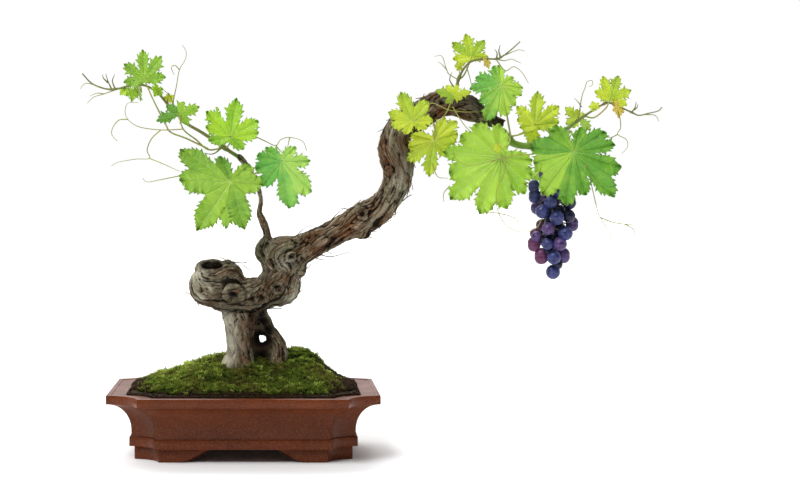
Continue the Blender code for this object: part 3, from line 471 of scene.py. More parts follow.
def drilled(pot, side):
    # one of the two drain holes through the floor
    p = potParts
    bm = bmesh.new()
    radius = p["drain"] * mm
    bmesh.ops.create_cone(bm, cap_ends=True, segments=40, radius1=radius, radius2=radius, depth=0.04)
    middle = (p["floor"] + p["footHeight"]) / 2
    bm.transform(Matrix.Translation((side * p["drainAt"] * mm, 0, middle * mm)))
    drain = fromBmesh("drain", bm)
    cut = pot.modifiers.new("drain", "BOOLEAN")
    cut.object = drain
    cut.operation = "DIFFERENCE"
    applied(pot)
    dropAll([drain])


def makeFoot(clay, row, end, hand, side):
    p = potParts
    high = p["footHeight"]
    outer = footStations(p["foot"])
    inner = footStations(p["foot"] + p["footThick"])
    rings = []
    for (x, y, low), (innerX, innerY, _) in zip(outer, inner):
        corners = ((x, y, low), (x, y, high), (innerX, innerY, high), (innerX, innerY, low))
        rings.append([(side * a, end * b, c) for a, b, c in corners])
    foot = fromBmesh("foot" + row + hand, ringStack(rings))
    soft = foot.modifiers.new("soft", "BEVEL")
    soft.width = p["footEdge"] * mm
    soft.segments = 2
    soft.limit_method = "ANGLE"
    soft.angle_limit = math.radians(50)
    applied(foot)
    finished(foot, "pot_clay", f"foot_{row}_{hand}".lower(), materials=[clay], angle=p["sharp"])


def makePot():
    clay = makeClay()
    steps = potParts["cornerSteps"]
    rings = [[(x, y, z) for x, y in outline(inset, steps)] for inset, z in potProfile()]
    pot = fromBmesh("potBody", ringStack(rings))
    for side in (-1, 1):
        drilled(pot, side)
    finished(pot, "pot_clay", "pot", materials=[clay], angle=potParts["sharp"])
    for row, end in (("Front", 1), ("Back", -1)):
        for hand, side in (("Right", 1), ("Left", -1)):
            makeFoot(clay, row, end, hand, side)


# Soil and moss
mossParts = {
    "inset": 25, "soilTop": 82.5, "shoulder": 87, "top": 124.5, "rounding": 2.1, "square": 2.6,
    "tilt": 0.12, "ridge": 10, "rings": 46, "bend": 1.1, "relief": 1.5,
    # the very pale green is painted back light and the near black one painted shade between blades and tufts;
    # the other colours are the moss's and soil's own
    "sprigs": (3500, 3400, 2500), "grit": 3200, "rimCrumbs": 4, "green": (112, 128, 46),
    "dark": (27, 32, 13), "bright": (232, 242, 122), "fresh": (150, 176, 66), "deep": (7, 9, 4),
    "soil": (20, 14, 10), "chip": (60, 44, 30), "dry": (92, 70, 38), "cornerSteps": 10, "sideSteps": 60,
    "blades": 7, "bladeLength": 0.0046, "bladeWidth": 0.0012,
    # rises and dips of the mound as (x, y, spread, height)
    "swells": [(-100, 25, 38, -13), (88, 35, 28, 16), (126, 20, 24, -12), (0, -45, 40, -7)],
}


def mossRise(x, y):
    # the height of the moss at this place, and how near the place is to the edge, which is 1
    m = mossParts
    along = abs(x) / (potParts["length"] / 2 - m["inset"])
    across = abs(y) / (potParts["width"] / 2 - m["inset"])
    edge = min(1, (along ** m["square"] + across ** m["square"]) ** (1 / m["square"]))
    inner = min(1, 3 * (1 - edge))
    rise = (m["top"] - m["shoulder"]) * (1 - edge ** m["rounding"])
    for swellX, swellY, spread, height in m["swells"]:
        rise += height * math.exp(-((x - swellX) ** 2 + (y - swellY) ** 2) / (2 * spread**2)) * inner
    rough = noise.fractal(Vector((x, y, 3)) / 14, 0.9, 2.0, 3) * m["relief"] * min(1, 8 * (1 - edge))
    return m["shoulder"] + rise + m["tilt"] * y * inner + rough, edge


def bareness(x, y, edge):
    # 1 on open soil, which shows at both ends and along the front rim, 0 on thick moss
    patch = noise.noise(Vector((x, y, 9)) / 16) * 0.55 + noise.noise(Vector((x, y, 4)) / 6) * 0.3
    ends = max(0, abs(x + 8) - 100) / 30
    front = max(0, -y - 70) / 26 * 0.8
    slope = math.exp(-(((x - 118) / 20) ** 2) - ((y - 20) / 40) ** 2)
    return min(1, max(0, max(ends, front, slope) - 0.2 + patch * 0.9 * (0.3 + edge)))


def makeMossMaterial(name, first, second, light=0.0):
    mat, tree, shader, spots = startMaterial(name, Roughness=0.8, Specular_IOR_Level=0.06)
    shader.inputs["Subsurface Weight"].default_value = light
    shader.inputs["Subsurface Radius"].default_value = (0.6, 1.0, 0.2)
    shader.inputs["Subsurface Scale"].default_value = 0.002
    color = patchy(tree, spots, 60.0, 0.16, first, second)["Color"]
    roughen(tree, shader, spots, 1200.0, 380.0, 0.5, 0.7, 0.0015)
    return mat, tree, shader, spots, color


def makeGround():
    # the mound of moss over the CAD soil, which only gets its material
    m = mossParts
    steps = (m["cornerSteps"], m["sideSteps"])
    rings = [[(x, y, m["soilTop"] + potParts["gap"]) for x, y in outline(m["inset"], *steps)]]
    deepest = potParts["width"] / 2 - m["ridge"]
    for i in range(m["rings"] + 1):
        inset = m["inset"] + (deepest - m["inset"]) * (i / m["rings"]) ** m["bend"]
        rings.append([(x, y, mossRise(x, y)[0]) for x, y in outline(inset, *steps)])
    bm = ringStack(rings)
    bmesh.ops.triangulate(bm, faces=[f for f in bm.faces if len(f.verts) > 4])
    mound = fromBmesh("mossMound", bm)
    places = [(v.co.x / mm, v.co.y / mm) for v in mound.data.vertices]
    note(mound.data, "bare", [bareness(x, y, mossRise(x, y)[1]) for x, y in places])
    # painted shade: the mound's moss is mottled with near black for the gaps between the tufts
    mat, tree, shader, spots, green = makeMossMaterial("mossGround", m["dark"], m["deep"])
    earth = patchy(tree, spots, 300.0, 0.12, m["soil"], m["chip"])["Color"]
    mask = ranged(tree, attribute(tree, "bare"), 0.25, 0.55)
    tree.links.new(mixed(tree, mask, green, earth), shader.inputs["Base Color"])
    finished(mound, "moss", "moss_mound", materials=[mat])
    earthMat, tree, shader, spots = startMaterial("potSoil", Roughness=0.95, Specular_IOR_Level=0.06)
    earth = patchy(tree, spots, 320.0, 0.12, m["soil"], m["chip"])["Color"]
    tree.links.new(earth, shader.inputs["Base Color"])
    roughen(tree, shader, spots, 900.0, 240.0, 0.5, 0.9, 0.002)
    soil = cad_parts["soil"]
    soil.data.materials.clear()
    soil.data.materials.append(earthMat)
    return earthMat


def sprigMesh(rng):
    # a tuft of thin three-sided blades that lean out from one root
    m = mossParts
    wide = m["bladeWidth"]
    bm = bmesh.new()
    for i in range(m["blades"]):
        tall = m["bladeLength"] * rng.uniform(0.6, 1.15)
        blade = bmesh.ops.create_cone(
            bm, cap_ends=True, segments=3, radius1=wide / 2, radius2=wide / 9, depth=tall)["verts"]
        lean = Matrix.Rotation(rng.uniform(0.15, 0.95), 4, "X")
        turn = Matrix.Rotation(2 * math.pi * (i + rng.uniform(0, 0.6)) / m["blades"], 4, "Z")
        stand = Matrix.Translation((0, 0, tall / 2))
        bmesh.ops.transform(bm, matrix=turn @ lean @ stand, verts=blade)
    return meshFrom("sprig", bm)


def pebbleMesh(rng):
    # an uneven crumb about 2 mm across
    bm = bmesh.new()
    bmesh.ops.create_icosphere(bm, subdivisions=1, radius=0.001)
    for vert in bm.verts:
        vert.co *= rng.uniform(0.65, 1.25)
    return meshFrom("pebble", bm)


def everywhere(x, y, bare):
    return 1 - bare


# dark tufts, thicker in front, painted shade on the side away from the back light
def shadedMostlyInFront(x, y, bare):
    return (1 - bare) * (0.9 if y < 0 else 0.5)


# pale yellow tufts, thick at the rear and in a few patches, painted back light
def backlitMostlyBehind(x, y, bare):
    patch = 0.3 if noise.noise(Vector((x, y, 1)) / 16) > 0.1 else 0.05
    return (1 - bare) * (1.0 if y > 34 else patch)


def onSoil(x, y, bare):
    return bare**1.5 + 0.01


def growMoss(earthMat):
    # tufts of three colours on the mound, the dark kind thicker in front as painted shade and the pale yellow
    # kind at the rear as painted back light, then crumbs on the open soil and along the rim
    m = mossParts
    rng = random.Random(7)
    halfX = potParts["length"] / 2 - m["inset"]
    halfY = potParts["width"] / 2 - m["inset"]

    def spotsFor(count, wanted):
        found = []
        while len(found) < count:
            x = rng.uniform(-halfX, halfX)
            y = rng.uniform(-halfY, halfY)
            z, edge = mossRise(x, y)
            cut = abs(x) / halfX + abs(y) / halfY
            if edge > 0.985 or cut > 1.72 or rng.random() > wanted(x, y, bareness(x, y, edge)):
                continue
            outward = Vector((x / halfX, y / halfY, 0)) * edge**3 * 0.6
            found.append((x, y, z, Vector((0, 0, 1)) + outward))
        return found

    def matrixAt(x, y, z, up, size):
        turn = up.to_track_quat("Z", "Y").to_matrix().to_4x4() @ Matrix.Rotation(rng.uniform(0, 6.28), 4, "Z")
        return Matrix.Translation(Vector((x, y, z)) * mm) @ turn @ Matrix.Scale(size, 4)

    kinds = [
        ("mossTufts", m["green"], m["dark"], everywhere),
        ("mossShade", m["dark"], m["green"], shadedMostlyInFront),
        ("mossBacklit", m["bright"], m["fresh"], backlitMostlyBehind),
    ]
    for (name, first, second, wanted), count in zip(kinds, m["sprigs"]):
        mat, tree, shader, spots, color = makeMossMaterial(name, first, second, 0.2)
        dryness = ranged(tree, patchy(tree, spots, 26.0, 0.1)["Mask"], 0.35, 0.9, (0, 0.8))
        color = mixed(tree, dryness, color, paint(*m["dry"]))
        change = ranged(tree, attribute(tree, "chance"), 0.25, 1, (0, 0.85))
        color = mixed(tree, change, color, paint(*second))
        # painted shade: each blade darkens to near black towards its root
        color = mixed(tree, ranged(tree, attribute(tree, "rise"), 0.2, 1.0), paint(*m["deep"]), color)
        tree.links.new(color, shader.inputs["Base Color"])
        template = sprigMesh(rng)
        matrices = []
        for x, y, z, up in spotsFor(count, wanted):
            clump = max(0, noise.noise(Vector((x, y, 2)) / 8)) * (2.2 if y > 25 else 1.2)
            tall = 0.45 + 0.7 * rng.random() + clump + (0.3 if y > 50 else 0)
            matrices.append(matrixAt(x, y, z - 0.6, up, tall))
        finished(scatter(name, template, matrices, rng), "moss", "moss_mound", materials=[mat])
    matrices = []
    for x, y, z, up in spotsFor(m["grit"], onSoil):
        matrices.append(matrixAt(x, y, z + 0.5, up, rng.uniform(0.5, 1.9) * (1.5 if y > -60 else 1)))
    rim = outline(m["inset"] + 3.5, m["cornerSteps"], m["sideSteps"])
    for x, y in rim * m["rimCrumbs"]:
        spot = (x + rng.uniform(-1.5, 1.5), y + rng.uniform(-1.5, 1.5), m["soilTop"] + rng.uniform(0.5, 5.5))
        matrices.append(matrixAt(*spot, Vector((0, 0, 1)), rng.uniform(0.7, 1.7)))
    finished(scatter("soilCrumbs", pebbleMesh(rng), matrices, rng), "soil", materials=[earthMat])


# Trunk and boughs
woodParts = {
    "voxel": 0.00155, "foot": 104.3,
    # the bark's relief: its plates, strings, fine grain, cracks and lumps in mm
    "relief": 1.0, "weights": (1.4, 1.4, 0.7, 1.7, 1.1),
    # the grain's scale along a limb against that across it, smaller for long fibres, and its turn per mm
    "fibre": 0.12, "longFibre": 0.045, "longFibred": ("leftLeg", "rightLeg", "upright"), "twist": 0.012,
    # loose flakes: how many, their lengths, widths and greatest lift in mm, and their two colours
    "flakes": 230, "flakeLong": (6, 22), "flakeWide": (1.0, 3.2), "flakeLift": 4.5,
    "flakeColors": ((118, 88, 60), (60, 46, 36)),
    # the bark's colours; dark is also painted shade in its cracks, hollows and recesses
    "gray": (132, 126, 102), "brown": (94, 68, 44), "pale": (206, 202, 180), "dark": (18, 13, 10),
    "moss": (84, 90, 54), "rust": (118, 68, 28), "burlShade": 0.42,
    # limbs as (x, y, z, radius) from the foot outwards
    "limbs": {
        "leftLeg": [
            (-9, -3, 98, 31), (-7, -2, 118, 24), (-5, 0, 132, 19), (-6, 0, 160, 20), (-5, 0, 188, 27)],
        "rightLeg": [
            (38, -2, 98, 15), (45, -2, 120, 12.5), (48, -1, 134, 11), (46, 0, 147, 9),
            (40, 1, 158, 7), (31, 2, 170, 6), (24, 2, 184, 8)],
        "heel": [(20, 6, 98, 23), (22, 8, 108, 16)],
        "neck": [(22, 2, 205, 20), (50, 2, 232, 22), (46, 0, 262, 25), (73, 0, 269, 21.5)],
        "junction": [(32, -2, 258, 12), (25, -3, 269, 12.5), (30, 0, 284, 8)],
        "lower": [
            (73, 0, 269, 21.5), (102, 2, 284, 18.5), (130, 2, 298, 18.5), (156, 0, 311, 22),
            (180, 0, 324, 20), (196, 1, 342, 18), (206, 2, 360, 18.5)],
        "upright": [
            (206, 2, 360, 18.5), (208, 2, 376, 20.5), (206, 0, 394, 24), (202, 0, 412, 22),
            (208, 0, 430, 20.5), (222, 1, 444, 20)],
        "head": [
            (222, 1, 444, 20), (242, 2, 455, 19), (264, 2, 467, 18.5), (288, 1, 467, 16.5),
            (304, 0, 461, 17.5), (320, 0, 452, 12.5), (338, 0, 443, 9), (349, 0, 439, 7.5)],
        "cane": [
            (36, 2, 262, 10), (31, 4, 289, 5.6), (29, 6, 298, 5.7), (25, 8, 309, 6), (20, 10, 321, 4.2),
            (22, 12, 333, 3.4), (21, 14, 346, 3.4), (14, 14, 364, 3.6), (3, 12, 384, 4.2), (-5, 10, 394, 4.6),
            (-10, 8, 399, 3.4)],
    },
    # how the grain of the knot sweeps from its cap round the bottom to the neck
    "sweep": [
        (-60, 0, 250, 24), (-56, 0, 226, 31), (-32, 0, 213, 31), (0, 0, 207, 32), (28, 0, 210, 32),
        (46, 0, 224, 31)],
    # swellings as (x, y, z, half sizes), of which the last is the wall between the legs
    "lumps": [
        (-45, 0, 222, 30, 31, 28), (-24, 1, 226, 24, 33, 31), (10, 2, 209, 34, 34, 24),
        (45, 0, 221, 31, 31, 26), (-14, -4, 100, 23, 25, 16), (38, -4, 100, 14, 20, 14),
        (30, -30, 215, 13, 7, 13), (-12, -32, 214, 17, 7, 11), (156, -8, 312, 20, 18, 19),
        (100, -12, 285, 14, 12, 14), (-44, 6, 246, 23, 24, 12), (-25, 0, 201, 23, 24, 14),
        (70, 0, 249, 15, 16, 18), (207, 2, 361, 18.5, 18.5, 18.5), (222, 1, 444, 19.5, 19.5, 19.5),
        (157, -3, 291, 14, 10, 6.5), (24, 9, 146, 20, 5, 42)],
    # cuts that make the hole between the legs as (x, y, z, radius, half depth), and the ball that hollows
    # the knot
    "eyes": [
        (24.5, 9, 150.5, 4.5, 30), (22.4, 9, 152.2, 2.6, 30), (26.8, 9, 149.2, 2.5, 30),
        (23.4, 9, 147.4, 2.2, 30)],
    "hollow": (-43, -15, 250, 14.5, 18, 4.5),
    # burls as (x, y, z, radius, ring spacing, depth of the eye in the middle)
    "burls": [
        (-14, -37, 213, 15, 2.6, 4), (23, -37, 207, 10.5, 2.3, 3), (45, -33, 221, 9.5, 2.4, 6),
        (158, -24, 320, 9, 2.2, 4), (86, -20, 290, 9, 2.3, 4), (191, -19, 376, 8, 2.2, 4),
        (63, -22, 262, 8, 2.5, 3), (264, -18, 468, 9, 2.4, 4), (-50, 30, 220, 13, 2.6, 4),
        (20, 36, 212, 12, 2.5, 4), (150, 20, 305, 10, 2.4, 4), (206, 24, 396, 9, 2.4, 4)],
    # places where the bark is smooth as (x, y, z, radius, amount)
    "smooth": [
        (-43, -14, 251, 20, 0.8), (-24, -12, 158, 24, 0.85), (-26, -14, 126, 22, 0.8),
        (-64, -10, 240, 16, 0.5), (200, -16, 404, 26, 0.55), (206, -16, 368, 20, 0.4)],
    # ridges (height above 0) and grooves (below 0) as (height, width, paleness, points)
    "ridges": [
        (2.6, 3.4, 0.9, [
            (-66, -14, 236), (-62, -22, 216), (-46, -29, 200), (-22, -30, 191), (6, -32, 187),
            (34, -28, 191), (56, -24, 203), (68, -16, 216)]),
        (1.8, 2.6, 0.8, [(-70, -6, 224), (-60, -20, 204), (-38, -26, 194), (-12, -30, 185), (20, -30, 183)]),
        (1.6, 2.5, 0.6, [(-58, -22, 236), (-46, -30, 222), (-36, -33, 206), (-20, -32, 198)]),
        (2.0, 3.0, 0.9, [(-22, -12, 188), (-24, -14, 160), (-24, -14, 132), (-34, -16, 112)]),
        (1.8, 3.0, 0.7, [(-8, -19, 188), (-12, -20, 160), (-13, -20, 132), (-20, -24, 108)]),
        (1.2, 3.0, 0.6, [(66, -18, 240), (72, -14, 226), (66, -18, 210)]),
        (-3.0, 2.2, 0.0, [(10, -18, 188), (12, -17, 160), (11, -17, 134), (14, -24, 108)]),
        (-2.4, 2.0, 0.0, [(30, -30, 228), (10, -34, 224), (-4, -36, 226), (-16, -38, 228), (-34, -34, 232)]),
        (-2.2, 4.5, 0.0, [(188, -18, 418), (186, -20, 400), (190, -19, 382)]),
        (1.8, 2.4, 0.1, [(196, -22, 424), (195, -24, 400), (197, -20, 380), (190, -16, 366)]),
        (1.6, 2.4, 0.2, [(214, -20, 428), (216, -22, 400), (214, -18, 372), (206, -14, 348)]),
        (-1.8, 1.8, 0.0, [(205, -22, 430), (207, -24, 402), (206, -20, 374), (196, -15, 346)]),
        (1.8, 2.6, 0.3, [(80, -22, 268), (106, -21, 283), (136, -22, 296), (170, -21, 312), (196, -16, 336)]),
        (-1.8, 1.8, 0.0, [(84, -20, 276), (110, -20, 291), (140, -20, 305), (168, -19, 322)]),
    ],
    # places whose bark is tinted as (x, y, z, radius, attribute, amount); some of the dark ones are painted
    # shade in the hollows
    "tones": [
        (2, -18, 174, 13, "warm", 1.0), (3, -20, 148, 13, "warm", 1.0), (2, -24, 124, 12, "warm", 0.9),
        (8, -16, 178, 11, "dark", 0.5), (9, -16, 154, 8, "dark", 0.5), (8, -18, 130, 8, "dark", 0.4),
        # the dark tones between x 17 and 31 on the next three lines are painted shade in the hollow between
        # the legs
        (20, -12, 190, 12, "dark", 0.8), (24, 4, 150, 17, "dark", 1.0), (24, -2, 128, 15, "dark", 1.0),
        (31, -4, 162, 10, "dark", 1.0), (17, -6, 150, 9, "dark", 1.0), (24, -6, 174, 11, "dark", 1.0),
        (21, -8, 122, 10, "dark", 1.0), (58, -20, 235, 14, "warm", 0.3), (62, -18, 212, 12, "pale", 0.7),
        (-64, -16, 240, 15, "pale", 0.8), (-22, -14, 174, 15, "pale", 0.9),
        (-22, -16, 146, 16, "pale", 0.95), (-28, -16, 118, 16, "pale", 0.9), (57, -18, 256, 9, "pale", 0.8),
        (26, -8, 268, 15, "moss", 0.7), (64, -16, 278, 14, "moss", 0.4), (95, -18, 280, 24, "warm", 0.7),
        (140, -18, 300, 26, "warm", 0.75), (178, -18, 326, 22, "warm", 0.6),
        (190, -14, 385, 20, "warm", 0.8), (186, -18, 412, 13, "warm", 0.8),
        (214, -14, 370, 18, "pale", 0.15), (214, -18, 412, 14, "warm", 0.45),
        (232, -10, 440, 20, "warm", 0.6), (204, -16, 398, 40, "dark", 0.2),
        (266, -14, 452, 18, "warm", 0.9), (290, -14, 452, 15, "warm", 0.8),
        (284, -6, 478, 20, "dark", 0.75), (310, 0, 468, 22, "dark", 0.9), (338, 0, 446, 20, "dark", 0.8),
        # the two dark tones at z 250 on the next two lines are painted shade in the knot's hollow
        (236, -10, 470, 16, "dark", 0.4), (-50, -10, 250, 10, "dark", 1.0),
        (-37, -10, 250, 10, "dark", 1.0), (48, -12, 120, 16, "warm", 0.3), (44, -14, 104, 18, "moss", 0.6),
        (0, -26, 106, 22, "moss", 0.4), (20, 20, 150, 26, "warm", 0.4), (100, 18, 284, 26, "warm", 0.6),
        (170, 18, 320, 26, "warm", 0.5), (204, 22, 400, 22, "warm", 0.6), (-46, 26, 220, 22, "pale", 0.4),
    ],
    # thin shreds of bark that hang off, with their radii
    "shreds": [
        (0.9, 0.3, [(98, -12, 266), (114, -14, 262), (130, -14, 265), (140, -14, 268), (147, -13, 262)]),
        (0.8, 0.3, [(90, -10, 262), (104, -13, 258), (120, -13, 258)]),
        (0.7, 0.3, [(70, -4, 290), (84, -2, 302), (96, -1, 304)]),
        (0.8, 0.3, [(118, 0, 312), (128, -1, 322), (140, -1, 330)]),
        (0.6, 0.2, [(-2, -8, 250), (8, -12, 244), (14, -12, 238)]),
        (0.7, 0.2, [(106, 14, 272), (120, 22, 264), (136, 24, 266)]),
    ],
}


def skeleton():
    # samples of every limb: place, direction, a side that faces back, run along the limb, radius, fibre and
    # the run of the grain, which goes on where one limb starts at the end of another
    rows = []
    ends = {}
    limbs = {**woodParts["limbs"], "sweep": woodParts["sweep"]}
    for index, (name, points) in enumerate(limbs.items()):
        path = smoothPath(points, 2.5)
        fibre = woodParts["longFibre"] if name in woodParts["longFibred"] else woodParts["fibre"]
        run, strand = ends.get(points[0], (170.0 * index, 170.0 * index * fibre))
        for here, after in zip(path, path[1:]):
            step = after.to_3d() - here.to_3d()
            axis = step.normalized()
            side = (Vector((0, 1, 0)) - axis * axis.y).normalized()
            rows.append((*here.to_3d(), *axis, *side, run, here[3], fibre, strand))
            run += step.length
            strand += step.length * fibre
        ends[points[-1]] = (run, strand)
    return np.array(rows)


def nearestRows(points, rows):
    # the skeleton sample whose limb's skin is nearest to each point
    found = np.empty(len(points), dtype=int)
    for start in range(0, len(points), 4000):
        part = points[start:start + 4000]
        away = np.linalg.norm(part[:, None, :] - rows[None, :, :3], axis=2) - rows[None, :, 10]
        found[start:start + 4000] = away.argmin(axis=1)
    return found


def distanceTo(points, path):
    samples = np.array([p[:] for p in smoothPath(path, 1.5)])
    return np.sqrt(((points[:, None, :] - samples[None, :, :]) ** 2).sum(axis=2).min(axis=1))


def readRows(source, name):
    found = np.empty(len(source) * 3)
    source.foreach_get(name, found)
    return found.reshape(-1, 3)


def grainOf(spots, own):
    # each point's place in its limb as if that were straight: across it, turned with the twist, and along it
    axis = own[:, 3:6]
    side = own[:, 6:9]
    offset = spots - own[:, :3]
    ahead = (offset * axis).sum(axis=1)
    radial = np.stack([(offset * side).sum(axis=1), (offset * np.cross(axis, side)).sum(axis=1)], axis=1)
    radial /= np.maximum(np.linalg.norm(radial, axis=1), 1e-6)[:, None]
    twist = (own[:, 9] + ahead) * woodParts["twist"]
    turned = np.stack([radial[:, 0] * np.cos(twist) - radial[:, 1] * np.sin(twist),
                       radial[:, 0] * np.sin(twist) + radial[:, 1] * np.cos(twist)], axis=1)
    return np.column_stack([turned * own[:, 10][:, None], own[:, 12] + ahead * own[:, 11]])


def barkNoise(spots, grain, calm):
    # how far the bark stands out at each point, and how near the point is to the middle of a crack
    broadPart, stringPart, finePart, crackPart, lumpPart = woodParts["weights"]
    move = np.empty(len(spots))
    cracks = np.empty(len(spots))
    for i, spot in enumerate(spots):
        at = Vector(spot)
        q = Vector(grain[i]) + 2.4 * noise.noise_vector(at / 13)
        broad = noise.noise(q / 9)
        strings = noise.noise(q / 3.4 + Vector((0, 0, 7)))
        fine = noise.noise(q / 1.9)
        split = noise.noise(q / 5.6 + Vector((3, 1, 0))) / 0.12
        crack = math.exp(-(split**2)) * min(1, 0.6 + 2 * abs(broad))
        cracks[i] = crack
        skin = broadPart * broad + stringPart * strings + finePart * fine - crackPart * crack
        move[i] = skin * calm[i] + lumpPart * noise.noise(at / 6.5)
    return move, cracks


def burlsAt(spots, bends, calm):
    # the rings, hollows and shade of the burls at each point, and how calm the other bark is there
    rings = np.zeros(len(spots))
    eyes = np.zeros(len(spots))
    shade = np.zeros(len(spots))
    for x, y, z, size, spacing, depth in woodParts["burls"]:
        away = np.linalg.norm((spots + 2.6 * bends - (x, y, z)) * (1, 0.6, 1), axis=1)
        near = np.exp(-((away / size) ** 4))
        rings += near * np.cos(2 * math.pi * away / spacing) * 0.85
        eyes += depth * np.exp(-((away / (0.3 * size)) ** 2))
        shade = np.maximum(shade, woodParts["burlShade"] * np.exp(-((away / (0.95 * size)) ** 6)))
        for at, wide, drop in ((0.78, 0.2, -1.8), (1.12, 0.14, 2.0)):
            eyes += drop * np.exp(-(((away / size - at) / wide) ** 2))
        calm = np.minimum(calm, 1 - 0.7 * near)
    return rings, eyes, shade, calm


def carveBark(mesh):
    # moves the skin in and out by its grain, burls and ridges, and notes the grain, painted shade in its
    # cracks and hollows, painted highlights on its raised parts and the tones on its points
    w = woodParts
    count = len(mesh.vertices)
    spots = readRows(mesh.vertices, "co") / mm
    normals = readRows(mesh.vertex_normals, "vector")
    rows = skeleton()
    bends = np.array([noise.noise_vector(Vector(spot) / 7) for spot in spots])
    own = rows[nearestRows(spots + 4 * bends, rows)]  # bends make the limits between limbs uneven
    radius = own[:, 10]
    grain = grainOf(spots, own)
    calm = np.ones(count)
    for x, y, z, size, amount in w["smooth"]:
        near = np.exp(-((np.linalg.norm(spots - (x, y, z), axis=1) / size) ** 2))
        calm = np.minimum(calm, 1 - amount * near)
    rings, eyes, shade, calm = burlsAt(spots, bends, calm)
    lift = np.zeros(count)
    palePart = np.zeros(count)
    for height, width, pale, path in w["ridges"]:
        near = np.exp(-((distanceTo(spots, path) / width) ** 2))
        lift += height * near
        palePart = np.maximum(palePart, pale * near)
    thin = np.clip(radius / 14, 0.28, 1)
    move, cracks = barkNoise(spots, grain, calm)
    move = move * thin * w["relief"]
    # painted highlight: the parts that stand out are paler
    raisedHighlight = 0.3 * np.clip(move / 2.2 - 0.1, 0, 1)
    move = move + rings * thin + (lift - eyes) * np.clip(thin, 0.6, 1)
    spots = spots + normals * move[:, None]
    mesh.vertices.foreach_set("co", (spots * mm).ravel())
    # painted shade: cracks, ring grooves and wherever the skin is pushed in are darkened
    creviceShade = 0.7 * cracks * calm + np.clip(-rings, 0, 1) * 0.8 + np.clip(-move / 2.8, 0, 1)
    # dark starts as painted shade in the burls' eyes and grooves, by how deep they are, plus burlShade over
    # each burl
    values = {
        "hollow": np.clip(creviceShade, 0, 1), "pale": np.maximum(palePart, raisedHighlight), "warm": np.zeros(count),
        "dark": np.clip(eyes / 3 + shade, 0, 1), "moss": np.zeros(count),
    }
    for x, y, z, size, name, amount in w["tones"]:
        near = np.exp(-((np.linalg.norm(spots - (x, y, z), axis=1) / size) ** (5 if name == "dark" else 2)))
        values[name] = np.maximum(values[name], amount * near)
    for name, value in values.items():
        note(mesh, name, value)
    mesh.attributes.new("grain", "FLOAT_VECTOR", "POINT").data.foreach_set("vector", (grain * mm).ravel())
    return spots, normals, own[:, 3:6], radius


def makeBark(name):
    w = woodParts
    mat, tree, shader, spots = startMaterial(name, Roughness=0.85, Specular_IOR_Level=0.08)
    grain = attribute(tree, "grain", "Vector")
    warm = attribute(tree, "warm")
    pale = attribute(tree, "pale")
    streaks = cloud(tree, grain, 400.0, 5.0, Roughness=0.65)
    broad = cloud(tree, grain, 100.0, 3.0)
    furrow = cloud(tree, grain, 300.0, 3.0, Distortion=0.6)
    crumbs = cloud(tree, spots, 480.0, 4.0, Roughness=0.7)
    furrows = counted(tree, "ABSOLUTE", counted(tree, "SUBTRACT", furrow, 0.5))
    lines = times(tree, ranged(tree, furrows, 0.0, 0.03, (1, 0)), ranged(tree, crumbs, 0.4, 0.6))
    color = mixed(tree, ranged(tree, broad, 0.38, 0.62), paint(*w["gray"]), paint(*w["brown"]))
    rust = times(tree, warm, ranged(tree, broad, 0.3, 0.55, (0.5, 1)))
    color = mixed(tree, rust, color, paint(*w["rust"]))
    color = mixed(tree, attribute(tree, "moss"), color, paint(*w["moss"]))
    lightStreak = ranged(tree, counted(tree, "ADD", streaks, crumbs), 1.0, 1.3, (0, 0.75))
    lightStreak = times(tree, lightStreak, ranged(tree, warm, 0, 1, (1, 0.2)))
    color = mixed(tree, lightStreak, color, paint(*w["pale"]))
    # the pale attribute holds pale bark and the painted highlights on raised parts
    color = mixed(tree, pale, color, paint(*w["pale"]))
    darkStreak = ranged(tree, streaks, 0.5, 0.34, (0, 0.92))
    darkStreak = times(tree, darkStreak, ranged(tree, pale, 0, 1, (1, 0.35)))
    # painted shade: the hollow attribute darkens cracks and recesses, and the dark one the burls' eyes and
    # the hollows set by the tones; the furrow lines are dark cracks, partly the bark's own colour and partly
    # painted shade in the grooves the bump cuts; the dark streaks are the bark's own colour
    hollow = ranged(tree, attribute(tree, "hollow"), 0.15, 0.8, (0, 0.95))
    shade = highest(tree, darkStreak, times(tree, lines, 0.8), hollow, attribute(tree, "dark"))
    color = mixed(tree, shade, color, paint(*w["dark"]))
    tree.links.new(color, shader.inputs["Base Color"])
    height = counted(tree, "ADD", streaks, times(tree, broad, 0.6))
    height = counted(tree, "SUBTRACT", height, times(tree, lines, 0.5))
    height = counted(tree, "ADD", height, times(tree, crumbs, 0.5))
    addBump(tree, shader, height, 0.9, 0.0022)
    return mat


def barkFlakes(spots, normals, axis, radius):
    # loose strips of bark that stand off the boughs at one end
    w = woodParts
    rng = random.Random(21)
    bm = bmesh.new()
    made = 0
    while made < w["flakes"]:
        i = rng.randrange(len(spots))
        at = Vector(spots[i])
        if radius[i] < 7 or at.z < 190 or (at.x < 30 and rng.random() < 0.8) or rng.random() > radius[i] / 20:
            continue
        made += 1
        out = Vector(normals[i])
        run = Vector(axis[i]) * rng.choice((-1, 1))
        run = (run - out * run.dot(out) + Vector([rng.uniform(-0.2, 0.2) for _ in range(3)])).normalized()
        across = out.cross(run)
        long = rng.uniform(*w["flakeLong"])
        wide = rng.uniform(*w["flakeWide"])
        lift = rng.uniform(0.2, 1.0) ** 2 * w["flakeLift"] + 0.4
        strip = bmesh.ops.create_grid(bm, x_segments=2, y_segments=6, size=0.5)["verts"]
        for vert in strip:
            u = vert.co.y + 0.5
            v = vert.co.x
            width = wide * (1 - 0.75 * u**2) * (0.55 + 0.45 * min(1, 5 * u))
            away = lift * u**1.6 - 0.5 + 0.5 * math.sin(9 * u + made) * u
            vert.co = (at + run * long * u + across * width * v + out * (away - 0.9 * v * v * wide)) * mm
    flakes = fromBmesh("barkFlakes", bm)
    thick = flakes.modifiers.new("thick", "SOLIDIFY")
    thick.thickness = 0.0006
    thick.offset = 0
    return applied(flakes)


